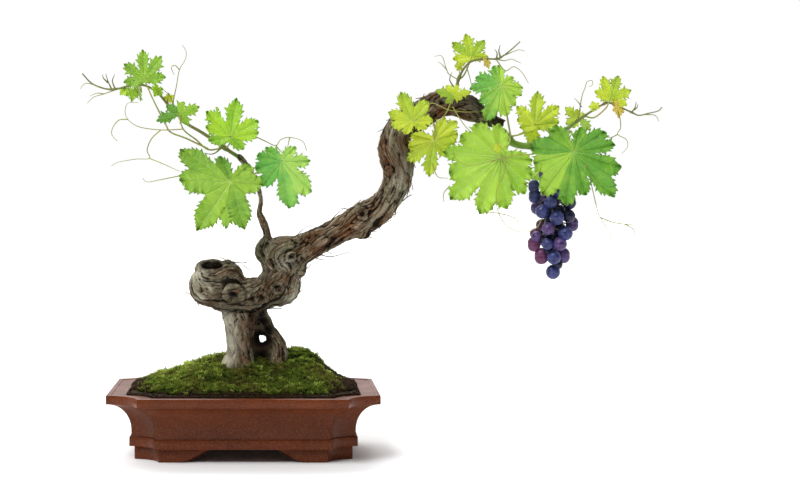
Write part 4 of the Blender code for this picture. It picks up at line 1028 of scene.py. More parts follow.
def makeWood():
    w = woodParts
    solids = [tubes("limb", [[p[:] for p in smoothPath(points, 4)] for points in w["limbs"].values()], 5)]
    solids += [ball(*sizes) for sizes in w["lumps"]]
    wood = joined("oldWood", solids)
    skin = wood.modifiers.new("skin", "REMESH")
    skin.mode = "VOXEL"
    skin.voxel_size = w["voxel"]
    soft = wood.modifiers.new("soft", "SMOOTH")
    soft.iterations = 8
    applied(wood)
    cutters = [tubes("eye", [[(x, y - depth, z, radius), (x, y + depth, z, radius)]], 6)
               for x, y, z, radius, depth in w["eyes"]]
    cutters.append(ball(*w["hollow"]))
    for cutter in cutters:
        cut = wood.modifiers.new("cut", "BOOLEAN")
        cut.operation = "DIFFERENCE"
        cut.object = cutter
        cut.solver = "MANIFOLD"
    applied(wood)
    dropAll(cutters)
    spots, normals, axis, radius = carveBark(wood.data)
    bm = bmesh.new()
    bm.from_mesh(wood.data)
    geometry = bm.verts[:] + bm.edges[:] + bm.faces[:]
    cutAt = (0, 0, w["foot"] * mm)
    bmesh.ops.bisect_plane(bm, geom=geometry, plane_co=cutAt, plane_no=(0, 0, -1), clear_outer=True)
    bmesh.ops.holes_fill(bm, edges=[e for e in bm.edges if e.is_boundary], sides=0)
    bmesh.ops.triangulate(bm, faces=[f for f in bm.faces if len(f.verts) > 4])
    bm.to_mesh(wood.data)
    bm.free()
    nodes = ("trunk", "lower_bough", "upright_bough", "bough_head", "left_cane")
    finished(wood, "bark", *nodes, materials=[makeBark("vineBark")])
    flakes = barkFlakes(spots, normals, axis, radius)
    flakeMat, tree, shader, places = startMaterial("barkFlake", Roughness=0.9, Specular_IOR_Level=0.25)
    color = patchy(tree, places, 90.0, 0.12, *w["flakeColors"])["Color"]
    tree.links.new(color, shader.inputs["Base Color"])
    roughen(tree, shader, places, 1500.0, 500.0, 0.5, 0.6, 0.001)
    shreds = tubes("shreds", [taper(points, root, tip) for root, tip, points in w["shreds"]], 1)
    both = joined("looseBark", [flakes, shreds])
    finished(both, "bark", materials=[flakeMat])


# Leaves
# A blade stands at a point of the plant, leans back by a share of its run and height, and has its lobes
# as (angle, length, depth of the notch after it, share of the second colour), seen from the front.
leafParts = {
    "seamRows": 6, "columns": (0, 0.045, 0.12, 0.28, 0.5, 0.75, 1), "tooth": 5.6, "toothDepth": 0.95,
    "shoulder": (0.5, 0.13), "bay": (0.4, -0.1), "point": (0.5, 0.02), "seamGap": 1.6, "tipDark": 0.08,
    "stalkNotch": 0.14, "cup": 0.05, "droop": 0.05, "wave": 0.035, "pucker": 0.012, "ribDepth": 0.45,
    "veinCount": 6.5, "veinSlant": 0.62, "thick": 0.35, "toothLean": (0.85, 0.35), "ribWidth": 0.07,
    "ribSteps": 10, "ribEnd": 0.94,
    # the points of a tooth as (share of its run, height, how dark)
    "toothPoints": ((0.42, 0.5, 0.3), (0.86, 1.0, 1.0), (1.0, 0.1, 0.1)),
    "plain": [(-115, 0.62, 0.62), (-55, 0.86, 0.5), (0, 1.0, 0.5), (55, 0.86, 0.62), (115, 0.62, 0)],
}
leaves = {
    "a": dict(at=(-134, -15, 500), lean=(0.15, 0.1), look="mid", lobes=[
        (5, 29, 0.6, 0.2), (54, 39, 0.4, 0), (93, 40, 0.4, 0), (143, 34, 0.5, 0.3), (190, 28, 0, 0.3)]),
    "b": dict(at=(-87, -26, 454), lean=(0.3, -1.2), look="mid", lobes=[
        (-55, 19, 0.6), (17, 29, 0.5), (60, 16, 0.5), (150, 18, 0.6, 1), (200, 32, 0, 1)]),
    "c": dict(at=(-18, -22, 422), lean=(0.1, 0.2), look="lime", lobes=[
        (-45, 24, 0.7, 0.6), (8, 38, 0.85), (32, 43, 0.48), (82, 54, 0.45, 0.2), (133, 48, 0.85, 0.1),
        (158, 36, 0.65), (190, 30, 0, 0.4)]),
    "d": dict(at=(50, -14, 390), lean=(0.12, -0.1), look="emerald", lobes=[
        (138, 28, 0.8, 0.4), (165, 33, 0.9, 0), (195, 36, 0.85, 0), (232, 43, 0.55, 0), (279, 65, 0.85, 0.3),
        (315, 58, 0.57, 1), (361, 39, 0.6, 1), (407, 27, 0, 0.9)]),
    "e": dict(at=(-17, -45, 362), lean=(0.1, 0.05), look="mid", lobes=[
        (112, 37, 0.85, 0.8), (147, 80, 0.85, 0.4), (178, 68, 0.56, 0.2), (235, 79, 0.49, 0),
        (286, 66, 0.59, 0.5), (355, 42, 0.92, 0), (45, 34, 0, 0)]),
    "f": dict(at=(222, -46, 442), lean=(0.1, 0.1), look="yellow", lobes=[
        (-28, 22, 0.8), (4, 28, 0.6), (50, 35, 0.56, 0.4), (111, 42, 0.5, 0.6), (159, 34, 0.8, 0.3),
        (195, 28, 0.7), (242, 20, 0)]),
    "g": dict(at=(252, -34, 417), lean=(0.05, -0.05), look="yellow", lobes=[
        (163, 31, 0.9), (194, 35, 0.85), (217, 45, 0.47, 0.4), (263, 49, 0.5, 0.6), (310, 29, 0.8),
        (15, 33, 0.9), (41, 40, 0.8), (66, 34, 0)]),
    "h": dict(at=(279, -29, 477), lean=(0.2, -0.9), look="yellow", lobes=[
        (-20, 13, 0.6), (12, 24, 0.5), (73, 14, 0.6), (133, 17, 0.6), (165, 26, 0.6, 0.8),
        (227, 14, 0, 0.8)]),
    "i": dict(at=(307, 5, 531), lean=(-0.1, 0.15), look="yellow", lobes=[
        (0, 22, 0.6), (52, 29, 0.5, 0.7), (103, 33, 0.5, 0.5), (142, 33, 0.6, 0.8), (188, 25, 0)]),
    "j": dict(at=(343, -27, 492), lean=(0.1, -0.1), look="fresh", lobes=[
        (100, 26, 0.9, 0.2), (116, 27, 0.65, 0.8), (164, 36, 0.9, 1), (189, 44, 0.4, 1),
        (216, 38, 0.85, 0.6), (246, 53, 0.85, 0.5), (282, 42, 0.85, 0), (305, 34, 0.58), (331, 31, 0.85),
        (352, 29, 0.8), (32, 18, 0)]),
    "k": dict(at=(385, -40, 437), lean=(0.15, 0.2), look="yellow", lobes=[
        (5, 33, 0.85, 0.2), (38, 43, 0.45), (83, 47, 0.5, 0.5), (133, 35, 0.85), (163, 25, 0.8),
        (190, 21, 0)]),
    "kSmall": dict(at=(385, -16, 430), lean=(0.1, 0.3), look="yellow", lobes=[
        (210, 13, 0.7), (250, 17, 0.6), (290, 16, 0.7), (330, 13, 0)]),
    "l": dict(at=(339, -48, 395), lean=(0.02, 0.05), look="pale", under=True, lobes=[
        (91, 43, 0.85), (127, 55, 0.9), (152, 61, 0.85), (175, 77, 0.83, 0.3), (197, 72, 0.95, 0.3),
        (220, 88, 0.6, 0.2), (249, 81, 0.85), (277, 69, 0.6, 0.4), (302, 58, 0.9, 0.5),
        (330, 48, 0.85, 0.3), (355, 42, 0)]),
    "m": dict(at=(431, -70, 401), lean=(0.02, -0.08), look="dark", lobes=[
        (124, 43, 0.92, 0.3), (174, 57, 0.9, 0), (195, 54, 0.9, 1), (234, 69, 0.75, 1),
        (263, 71, 0.85, 0.1), (287, 59, 0.6, 0), (312, 80, 0.9, 0), (343, 65, 0.5, 0), (370, 55, 0.9),
        (394, 48, 0.85), (437, 33, 0, 0.2)]),
    "n": dict(at=(454, 12, 448), lean=(0.5, -1.0), look="yellow", lobes=[
        (-36, 26, 0.7, 1), (50, 9, 0.8), (122, 14, 0.6), (149, 28, 0.7), (200, 20, 0.7), (240, 14, 0)]),
    "o": dict(at=(494, -2, 475), lean=(0.15, 0.15), look="yellow", lobes=[
        (-25, 24, 0.6), (21, 31, 0.5, 0.4), (70, 33, 0.5, 0.6), (110, 32, 0.6, 0.2), (160, 24, 0)]),
    "backE": dict(at=(-24, 42, 344), turn=148, heading=-95, size=46, lean=(0, -0.2), look="mid"),
    "backL": dict(at=(336, 38, 384), turn=205, heading=-85, size=60, lean=(0, -0.2), look="dark"),
    "backM": dict(at=(428, 36, 388), turn=152, heading=-85, size=50, lean=(0, -0.2), look="fresh"),
    "behindA": dict(at=(-146, 34, 486), turn=80, heading=80, size=30, lean=(0, 0.2), look="mid"),
    "behindC": dict(at=(-30, 56, 428), turn=84, heading=95, size=38, lean=(0, 0.2), look="lime"),
    "behindE": dict(at=(-42, 58, 362), turn=96, heading=-100, size=48, lean=(0, -0.15), look="emerald"),
    "behindG": dict(at=(226, 62, 428), turn=80, heading=-80, size=44, lean=(0, -0.2), look="fresh"),
    "behindF": dict(at=(220, 60, 457), turn=98, heading=62, size=28, lean=(0, 0.2), look="yellow"),
    "behindJ": dict(at=(334, 44, 480), turn=96, heading=75, size=36, lean=(0, 0.2), look="lime"),
    "behindL": dict(at=(322, 60, 392), turn=84, heading=-85, size=46, lean=(0, -0.15), look="mid"),
    "behindM": dict(at=(446, 58, 392), turn=98, heading=-95, size=46, lean=(0, -0.15), look="dark"),
    "behindO": dict(at=(492, 30, 478), turn=84, heading=70, size=24, lean=(0, 0.1), look="yellow"),
    # young leaves at the tips and joints
    "tipHang": dict(at=(-151, -2, 484), turn=30, heading=-95, size=14, lean=(0.2, 0.1), look="mid"),
    "tipHang2": dict(at=(-163, 2, 487), turn=-40, heading=-60, size=10, lean=(0.2, 0.3), look="lime"),
    "tipFold": dict(at=(-116, -4, 488), turn=20, heading=-120, size=13, lean=(0.3, 0.2), look="lime"),
    "tipFold2": dict(at=(-104, 4, 474), turn=-25, heading=30, size=10, lean=(0.3, 0.2), look="yellow"),
    "youngL": dict(at=(333, -56, 409), turn=0, heading=-80, size=9, lean=(0.1, 0.1), look="yellow"),
    "youngI": dict(at=(290, 1, 516), turn=20, heading=100, size=10, lean=(0.2, 0.2), look="yellow"),
    "youngI2": dict(at=(326, -2, 526), turn=30, heading=-75, size=12, lean=(0.3, 0.2), look="rosy"),
    "youngO": dict(at=(472, -2, 462), turn=-20, heading=110, size=10, lean=(0.2, 0.2), look="yellow"),
    "youngO2": dict(at=(504, -2, 465), turn=25, heading=-95, size=17, lean=(0.3, 0.1), look="rosy"),
}

# The colours of each kind of leaf: the blade, its second colour, its veins and the points of its teeth
leafLooks = {
    "mid": ((146, 184, 58), (90, 142, 44), (196, 220, 130), (44, 86, 32)),
    "lime": ((160, 200, 44), (92, 156, 42), (208, 226, 120), (52, 112, 48)),
    "yellow": ((190, 206, 52), (140, 172, 44), (226, 232, 136), (96, 118, 32)),
    "emerald": ((92, 168, 66), (168, 206, 96), (170, 214, 140), (34, 92, 44)),
    "fresh": ((172, 206, 76), (106, 172, 70), (208, 228, 140), (54, 106, 40)),
    "pale": ((164, 202, 66), (136, 182, 52), (206, 226, 132), (80, 122, 42)),
    "dark": ((92, 150, 44), (154, 192, 62), (156, 198, 104), (40, 78, 26)),
    "rosy": ((214, 190, 84), (206, 140, 96), (226, 206, 130), (150, 110, 50)),
}

# Each spray by the CAD node it stands for: its stem as (radius at the root, radius at the tip, points), the
# stalks of its leaves, which end at the leaves, its side shoots and its tendrils.
sprays = {
    "left_tip_spray": dict(
        stem=(2.7, 0.9, [
            (-8, 9, 396), (-25, 6, 407), (-56, 2, 428), (-79, 0, 442), (-101, 0, 464), (-120, 0, 485),
            (-143, 0, 494), (-165, 0, 489), (-181, 0, 487), (-195, 0, 490), (-207, -3, 496),
            (-218, -6, 508)]),
        stalks={
            "a": [
                (-49, -1, 407), (-64, -4, 414), (-79, -6, 421), (-99, -7, 429), (-106, -8, 440),
                (-123, -10, 474)],
            "b": [(-30, 4, 408), (-49, 0, 406), (-65, -4, 419), (-82, -8, 433)],
            "c": [(-25, 5, 408), (-20, -12, 413)],
            "behindA": [(-140, 0, 493), (-144, 18, 486)],
            "behindC": [(-28, 6, 409), (-34, 32, 414)],
            "tipHang": [(-149, 0, 493), (-151, -1, 488)], "tipHang2": [(-163, 0, 490), (-163, 1, 488)],
            "tipFold": [(-118, 0, 484), (-116, -3, 487)], "tipFold2": [(-101, 0, 464), (-104, 3, 470)],
        },
        shoots=[
            [(-30, 4, 409), (-42, -2, 400), (-56, -6, 401)],
            [(-179, 0, 487), (-184, 0, 498), (-187, 0, 508)],
            [(-174, 0, 487), (-178, 0, 498), (-175, 0, 507)],
            [(-184, 0, 496), (-190, -2, 502), (-191, -2, 507)],
        ],
        tendrils=[
            [(-82, -8, 433), (-112, -9, 432), (-141, -12, 436), (-156, -12, 446), (-160, -9, 458),
             (-156, -8, 468), (-142, -8, 469)],
            [(-156, -12, 446), (-168, -12, 445), (-176, -10, 436), (-178, -8, 426), (-171, -8, 417)],
            [(-112, -9, 432), (-125, -5, 420), (-131, -2, 405), (-128, 0, 394), (-146, 2, 393),
             (-170, 4, 389), (-180, 6, 384)],
            [(-128, 0, 394), (-110, -20, 387), (-85, -44, 376)],
            [(-85, -46, 370), (-110, -42, 365), (-128, -40, 362), (-134, -40, 367)],
            [(-94, 0, 459), (-96, 4, 470), (-92, 6, 492), (-88, 8, 514), (-80, 6, 528), (-79, 5, 539),
             (-84, 4, 547)],
            [(-88, 8, 514), (-94, 8, 520), (-99, 7, 517), (-95, 6, 507)],
            [(-96, 4, 470), (-103, 2, 481), (-113, 0, 489)],
            [(-195, 0, 490), (-207, -6, 494), (-214, -10, 494), (-220, -12, 487)],
            [(-172, 0, 487), (-190, 4, 481), (-204, 8, 477), (-213, 10, 469)],
            [(-190, 4, 481), (-199, 2, 482), (-208, 0, 478)],
        ],
    ),
    "left_leaf_spray": dict(
        stem=(1.8, 1.2, [(12, 14, 371), (10, -4, 371), (8, -16, 371)]),
        stalks={
            "d": [(10, -6, 371), (26, -8, 380), (44, -10, 390)],
            "e": [(8, -14, 371), (-4, -32, 371)],
            "behindE": [(10, -2, 370), (-6, 6, 362), (-26, 30, 360)],
            "backE": [(-6, 6, 362), (-18, 26, 358)],
        },
        shoots=[],
        tendrils=[
            [(15, -8, 423), (28, -8, 417), (42, -9, 411), (49, -8, 419), (61, -8, 422), (78, -6, 417),
             (84, -4, 404)],
            [(42, -9, 411), (52, -10, 400), (56, -11, 394)],
            [(61, -8, 422), (58, -9, 408)],
        ],
    ),
    "crown_left_spray": dict(
        stem=(1.7, 1.2, [(247, -14, 453), (244, -28, 450), (240, -34, 448)]),
        stalks={"f": [(242, -31, 449), (232, -42, 446)], "g": [(243, -30, 449), (253, -36, 436)]},
        shoots=[],
        tendrils=[
            [(240, -34, 447), (247, -40, 466), (269, -40, 458), (287, -38, 455), (312, -30, 455)],
            [(276, -33, 472), (267, -34, 452), (249, -34, 436)],
            [(277, -33, 462), (286, -36, 446), (295, -36, 434), (309, -34, 422)],
            [(250, -32, 386), (254, -33, 374), (259, -34, 368), (271, -34, 367)],
            [(273, -34, 357), (265, -34, 347), (265, -34, 336)],
        ],
    ),
    "crown_back_spray": dict(
        stem=(1.7, 1.2, [(211, 18, 434), (214, 34, 440), (216, 42, 442)]),
        stalks={"behindG": [(215, 38, 441), (222, 50, 436)], "behindF": [(214, 34, 440), (212, 46, 448)]},
        shoots=[],
        tendrils=[],
    ),
    "crown_top_spray": dict(
        stem=(1.9, 0.8, [
            (286, 0, 480), (289, 0, 502), (302, 0, 522), (320, 0, 528), (339, 0, 528), (347, 0, 531),
            (359, -2, 540), (371, -4, 551)]),
        stalks={
            "i": [(289, 0, 500), (296, 3, 506), (302, 5, 518)], "h": [(287, 0, 492), (284, -16, 489)],
            "youngI": [(290, 0, 504), (290, 1, 512)], "youngI2": [(320, 0, 528), (325, -1, 528)],
        },
        shoots=[
            [(345, 0, 531), (343, 0, 539), (345, 0, 547)],
            [(340, 0, 529), (341, 2, 536), (338, 3, 541)],
            [(283, 0, 489), (277, 2, 500), (280, 2, 510)],
        ],
        tendrils=[
            [(351, 0, 533), (363, -2, 538), (370, -4, 540), (377, -6, 538)],
            [(339, 0, 528), (351, 4, 526), (361, 5, 528), (374, 8, 523)],
            [(339, 0, 528), (351, -4, 512), (362, -8, 517), (373, -8, 509), (382, -6, 495)],
            [(289, 0, 500), (277, 3, 507), (273, 4, 514), (267, 6, 532), (257, 6, 532)],
            [(273, 4, 514), (266, 6, 522), (262, 8, 524)],
            [(300, 2, 517), (304, -4, 500), (306, -8, 486)],
        ],
    ),
    "crown_middle_spray": dict(
        stem=(2.0, 1.4, [(357, 0, 419), (357, -15, 423), (356, -22, 421)]),
        stalks={
            "l": [(356, -19, 422), (350, -36, 410)],
            "j": [(357, -13, 423), (352, -17, 448), (347, -21, 474)],
            "k": [(357, -15, 423), (372, -30, 427)],
            "kSmall": [(366, -24, 426), (377, -19, 430)],
            "youngL": [(345, -47, 400), (340, -54, 405), (335, -56, 410)],
        },
        shoots=[],
        tendrils=[
            [(345, -52, 393), (341, -58, 372), (331, -62, 349), (333, -62, 323), (346, -58, 304),
             (367, -56, 296), (385, -52, 302), (393, -50, 315)],
            [(317, -50, 323), (333, -60, 321), (346, -62, 318), (358, -60, 313), (357, -60, 306),
             (349, -60, 306)],
            [(376, -66, 398), (359, -64, 397), (341, -62, 393), (316, -62, 387), (294, -60, 383),
             (278, -58, 393), (275, -56, 403)],
        ],
    ),
    "crown_rear_spray": dict(
        stem=(1.8, 1.3, [(354, 1, 421), (350, 16, 424), (349, 22, 425)]),
        stalks={
            "behindL": [(350, 18, 424), (338, 42, 412)],
            "backL": [(350, 18, 424), (344, 28, 406)],
            "behindJ": [(349, 20, 425), (346, 30, 446), (340, 40, 466)],
        },
        shoots=[],
        tendrils=[],
    ),
    "crown_right_spray": dict(
        stem=(1.7, 1.3, [(430, 0, 431), (433, -20, 430), (435, -32, 428)]),
        stalks={"m": [(434, -28, 429), (438, -50, 421), (435, -66, 410)]},
        shoots=[],
        tendrils=[
            [(446, -69, 384), (450, -64, 378), (458, -54, 353), (466, -46, 326), (471, -42, 315),
             (483, -38, 296), (489, -36, 279), (491, -34, 265)],
            [(471, -42, 315), (487, -40, 309), (505, -36, 306), (533, -30, 304)],
            [(505, -36, 306), (516, -33, 300), (519, -32, 294), (514, -31, 291)],
        ],
    ),
    "right_tip_spray": dict(
        stem=(1.8, 0.7, [
            (442, 0, 439), (458, 0, 451), (484, 0, 467), (495, 0, 468), (522, 0, 456), (532, 0, 452),
            (546, 0, 455), (558, 0, 458), (563, 0, 463)]),
        stalks={
            "o": [(458, 0, 451), (471, -3, 449), (486, -4, 461), (490, -3, 468)],
            "n": [(450, 0, 445), (452, 6, 449)],
            "behindO": [(486, 0, 467), (489, 14, 471)],
            "youngO": [(472, 0, 460), (472, -1, 462)], "youngO2": [(500, 0, 467), (503, -1, 466)],
        },
        shoots=[[(522, 0, 456), (527, 0, 463), (528, 0, 470)], [(525, 0, 459), (530, 1, 463), (531, 2, 467)]],
        tendrils=[
            [(539, 0, 453), (554, 2, 452), (560, 4, 444)],
            [(450, 0, 445), (454, -4, 476), (458, -5, 488), (461, -6, 497), (468, -5, 498), (468, -4, 492),
             (463, -4, 490)],
            [(454, -3, 463), (449, -4, 470), (444, -4, 475)],
            [(496, 0, 467), (504, -3, 455), (506, -6, 436), (501, -10, 426), (512, -13, 419), (513, -15, 409),
             (505, -18, 400)],
            [(501, -10, 426), (493, -10, 422), (486, -9, 422)],
        ],
    ),
    "right_back_spray": dict(
        stem=(1.7, 1.3, [(430, 0, 431), (434, 16, 429), (437, 24, 427)]),
        stalks={"behindM": [(436, 20, 428), (444, 44, 414)], "backM": [(436, 20, 428), (430, 29, 410)]},
        shoots=[],
        tendrils=[],
    ),
}
# The green shoot as (x, y, z, radius)
shootPoints = [
    (348, 0, 431, 5), (356, 0, 420, 5), (366, 0, 413, 4.8), (385, 0, 411, 4.4), (412, 0, 419, 3.6),
    (432, 0, 432, 3.0), (446, 0, 442, 2.4)]
# The radii at the root and tip of each kind of twig, how much and how far along a twig swells at a joint,
# where the green shoot has its joints, and two colours of each kind
twigParts = {
    "stalk": (1.25, 0.95), "shoot": (1.2, 0.4), "tendril": (0.85, 0.35), "rib": (0.75, 0.12),
    "swell": (0.55, 3.0), "shootSwell": (0.3, 4), "shootJoints": (356, 386, 412, 431),
    "colors": {
        "greenStem": ((96, 118, 50), (122, 112, 62)), "leafStalk": ((146, 168, 70), (168, 140, 84)),
        "tendril": ((156, 162, 66), (136, 128, 58)), "leafRib": ((184, 214, 104), (164, 200, 90)),
        "greenShoot": ((126, 158, 62), (96, 124, 52)),
    },
}


def polar(angle, length):
    return length * math.cos(math.radians(angle)), length * math.sin(math.radians(angle))


def leafPoint(leaf, x, z, sink=0.0):
    # a point of the blade's leaning plane, x along it and z up from the stalk, pushed back by the sink
    turn = math.radians(leaf.get("turn", 0))
    across = Vector((math.cos(turn), math.sin(turn), 0))
    back = Vector((-math.sin(turn), math.cos(turn), 0))
    depth = leaf["lean"][0] * x + leaf["lean"][1] * z + sink
    return Vector(leaf["at"]) + across * x + Vector((0, 0, z)) + back * depth


def lobesOf(leaf):
    # the lobes as the table gives them, or the plain ones at this leaf's heading and size
    if "lobes" in leaf:
        return [(*lobe, 0)[:4] for lobe in leaf["lobes"]]
    heading, size = leaf["heading"], leaf["size"]
    return [(angle + heading, share * size, notch, 0) for angle, share, notch in leafParts["plain"]]


def notchesOf(leaf):
    # the deepest points between the lobes, with the one at the stalk first and last
    lobes = lobesOf(leaf)
    reach = max(lobe[1] for lobe in lobes)
    found = []
    for (angle, length, notch, _), (nextAngle, nextLength, _, _) in zip(lobes, lobes[1:]):
        gap = (nextAngle - angle) % 360
        found.append(polar(angle + gap / 2, notch * min(length, nextLength)))
    gap = (lobes[0][0] - lobes[-1][0]) % 360
    atStalk = polar(lobes[-1][0] + gap / 2, leafParts["stalkNotch"] * reach)
    return [atStalk] + found + [atStalk]


def ribSink(reach, share):
    # how far back the rib of a lobe lies at this share of its length
    p = leafParts
    return reach * (p["cup"] * math.sin(math.pi * min(1, share * 0.8)) + p["droop"] * share**2.5)


def curveAt(points, s):
    # a point of the curve that the middle one of three points bends, and its direction there
    spot = [(1 - s) ** 2 * a + 2 * s * (1 - s) * b + s * s * c for a, b, c in zip(*points)]
    ahead = [(1 - s) * (b - a) + s * (c - b) for a, b, c in zip(*points)]
    size = math.hypot(*ahead)
    return spot, [part / size for part in ahead]


def beside(start, end, side, ahead, bulge):
    # the point at this share of the way from start to end, moved off to one side by the bulge
    goX, goY = end[0] - start[0], end[1] - start[1]
    return start[0] + ahead * goX - bulge * goY * side, start[1] + ahead * goY + bulge * goX * side


def shoulderOf(notch, tip, length, side, rng):
    # the widest point of half a lobe, which stays on its own side of the seam
    ahead, bulge = leafParts["shoulder"]
    gap = math.radians(leafParts["seamGap"])
    shoulder = beside(notch, tip, side, ahead, bulge * rng.uniform(0.85, 1.15))
    seam = math.atan2(notch[1], notch[0])
    past = side * (math.atan2(shoulder[1], shoulder[0]) - seam)
    past = (past + math.pi) % (2 * math.pi) - math.pi
    if math.hypot(*notch) <= 0.25 * length or past <= -gap:
        return shoulder
    wide = math.hypot(*shoulder)
    held = seam - side * gap
    return wide * math.cos(held), wide * math.sin(held)


def borderOf(notch, tip, length, side, rng):
    # half a lobe's seam and then its toothed margin as (x, y, how near this is to the point of a tooth)
    p = leafParts
    span = math.hypot(tip[0] - notch[0], tip[1] - notch[1])
    teeth = max(2, round(span / p["tooth"]))
    shoulder = shoulderOf(notch, tip, length, side, rng)
    bay = (notch, beside(notch, shoulder, side, *p["bay"]), shoulder)
    front = (shoulder, beside(shoulder, tip, side, *p["point"]), tip)
    turnAt = max(1, round(p["shoulder"][0] * teeth)) / teeth
    sizes = [p["toothDepth"] * span / teeth * rng.uniform(0.65, 1.25) for _ in range(teeth)]
    outPart, aheadPart = p["toothLean"]
    border = []
    for i in range(p["seamRows"] + 1):
        share = i / p["seamRows"]
        border.append((notch[0] * share, notch[1] * share, 0.0))
    for index, size in enumerate(sizes):
        for part, height, point in p["toothPoints"]:
            t = (index + part) / teeth
            bend, s = (bay, t / turnAt) if t < turnAt else (front, (t - turnAt) / (1 - turnAt))
            rise = height * size * min(1, 2 * t / turnAt) ** 2 * min(1, 2.4 * (1 - t))
            (x, y), (aheadX, aheadY) = curveAt(bend, s)
            x += rise * (-aheadY * side * outPart + aheadX * aheadPart)
            y += rise * (aheadX * side * outPart + aheadY * aheadPart)
            border.append((x, y, point))
    border[-1] = (*tip, 1.0)
    return border


def halfLobe(bm, layers, leaf, reach, lobe, notch, side, rng):
    # one half of a lobe, from its rib to the seam with its neighbour and its toothed margin
    p = leafParts
    seamRows = p["seamRows"]
    angle, length, _, tint = lobe
    tip = polar(angle, length)
    cos, sin = math.cos(math.radians(angle)), math.sin(math.radians(angle))
    turn = math.atan2(notch[1], notch[0]) - math.radians(angle)
    facing = min(0.72, max(0.1, math.hypot(*notch) * math.cos(turn) / length))
    border = borderOf(notch, tip, length, side, rng)
    phase = rng.uniform(0, 6)
    rows = len(border) - 1
    last = len(p["columns"]) - 1
    grid = bmesh.ops.create_grid(bm, x_segments=last, y_segments=rows, size=0.5)["verts"]
    maps = {}
    for vert in grid:
        row = round((vert.co.y + 0.5) * rows)
        t = p["columns"][round((vert.co.x + 0.5) * last)]
        edgeX, edgeY, point = border[row]
        share = facing * row / seamRows
        if row > seamRows:
            share = facing + (1 - facing) * (row - seamRows) / (rows - seamRows)
        x = tip[0] * share * (1 - t) + edgeX * t
        y = tip[1] * share * (1 - t) + edgeY * t
        onRib = (x * cos + y * sin) / length
        offRib = abs(y * cos - x * sin) / length
        u = (onRib - p["veinSlant"] * offRib) * p["veinCount"] * min(1, 0.5 + length / 120)
        seamShare = min(1, row / seamRows)
        sink = ribSink(reach, share) * (1 - 0.75 * t * seamShare) - 0.012 * reach * t * seamShare
        puff = abs(math.sin(math.pi * u)) * math.sin(math.pi * min(1, t)) * p["pucker"] * length
        ridge = p["ribDepth"] * math.exp(-((t / p["ribWidth"]) ** 2)) * (1 - share)
        sink += (ridge - puff) * (-1 if leaf.get("under") else 1)
        if row > seamRows:
            sink += p["wave"] * reach * t * t * math.sin(1.1 * row + phase)
        vert.co = leafPoint(leaf, x, y, sink) * mm
        vert[layers["tint"]] = tint
        vert[layers["size"]] = min(1, reach / 80) ** 2
        fromTip = math.hypot(x - tip[0], y - tip[1]) / length
        vert[layers["rim"]] = max(point * t**6, math.exp(-((fromTip / p["tipDark"]) ** 2)))
        maps[vert] = (u, offRib)
    for face in {f for v in grid for f in v.link_faces}:
        for loop in face.loops:
            loop[layers["veins"]].uv = maps[loop.vert]


def leafMesh(key):
    leaf = leaves[key]
    rng = random.Random(key)
    bm = bmesh.new()
    layers = {name: bm.verts.layers.float.new(name) for name in ("tint", "rim", "size")}
    layers["veins"] = bm.loops.layers.uv.new("veins")
    lobes = lobesOf(leaf)
    reach = max(lobe[1] for lobe in lobes)
    notches = notchesOf(leaf)
    for i, lobe in enumerate(lobes):
        halfLobe(bm, layers, leaf, reach, lobe, notches[i], -1, rng)
        halfLobe(bm, layers, leaf, reach, lobe, notches[i + 1], 1, rng)
    bmesh.ops.remove_doubles(bm, verts=bm.verts, dist=0.00002)
    bmesh.ops.dissolve_degenerate(bm, dist=0.000005, edges=bm.edges)
    bmesh.ops.recalc_face_normals(bm, faces=bm.faces)
    blade = fromBmesh("blade", bm)
    thick = blade.modifiers.new("thick", "SOLIDIFY")
    thick.thickness = leafParts["thick"] * mm * min(1, reach / 30)
    thick.offset = 0
    return applied(blade)


def leafRibs(key):
    # the raised ribs on the underside of a blade
    leaf = leaves[key]
    p = leafParts
    lobes = lobesOf(leaf)
    reach = max(lobe[1] for lobe in lobes)
    front = -1 if leaf.get("under") else 1
    root, tip = twigParts["rib"]
    runs = []
    for angle, length, _, _ in lobes:
        run = []
        for i in range(p["ribSteps"] + 1):
            share = p["ribEnd"] * i / p["ribSteps"]
            sink = ribSink(reach, share) + front * (0.3 + p["ribDepth"] * (1 - share))
            spot = leafPoint(leaf, *polar(angle, length * share), sink)
            thick = (root + (tip - root) * share) * min(1, length / 55)
            run.append((*spot, thick))
        runs.append(run)
    return runs


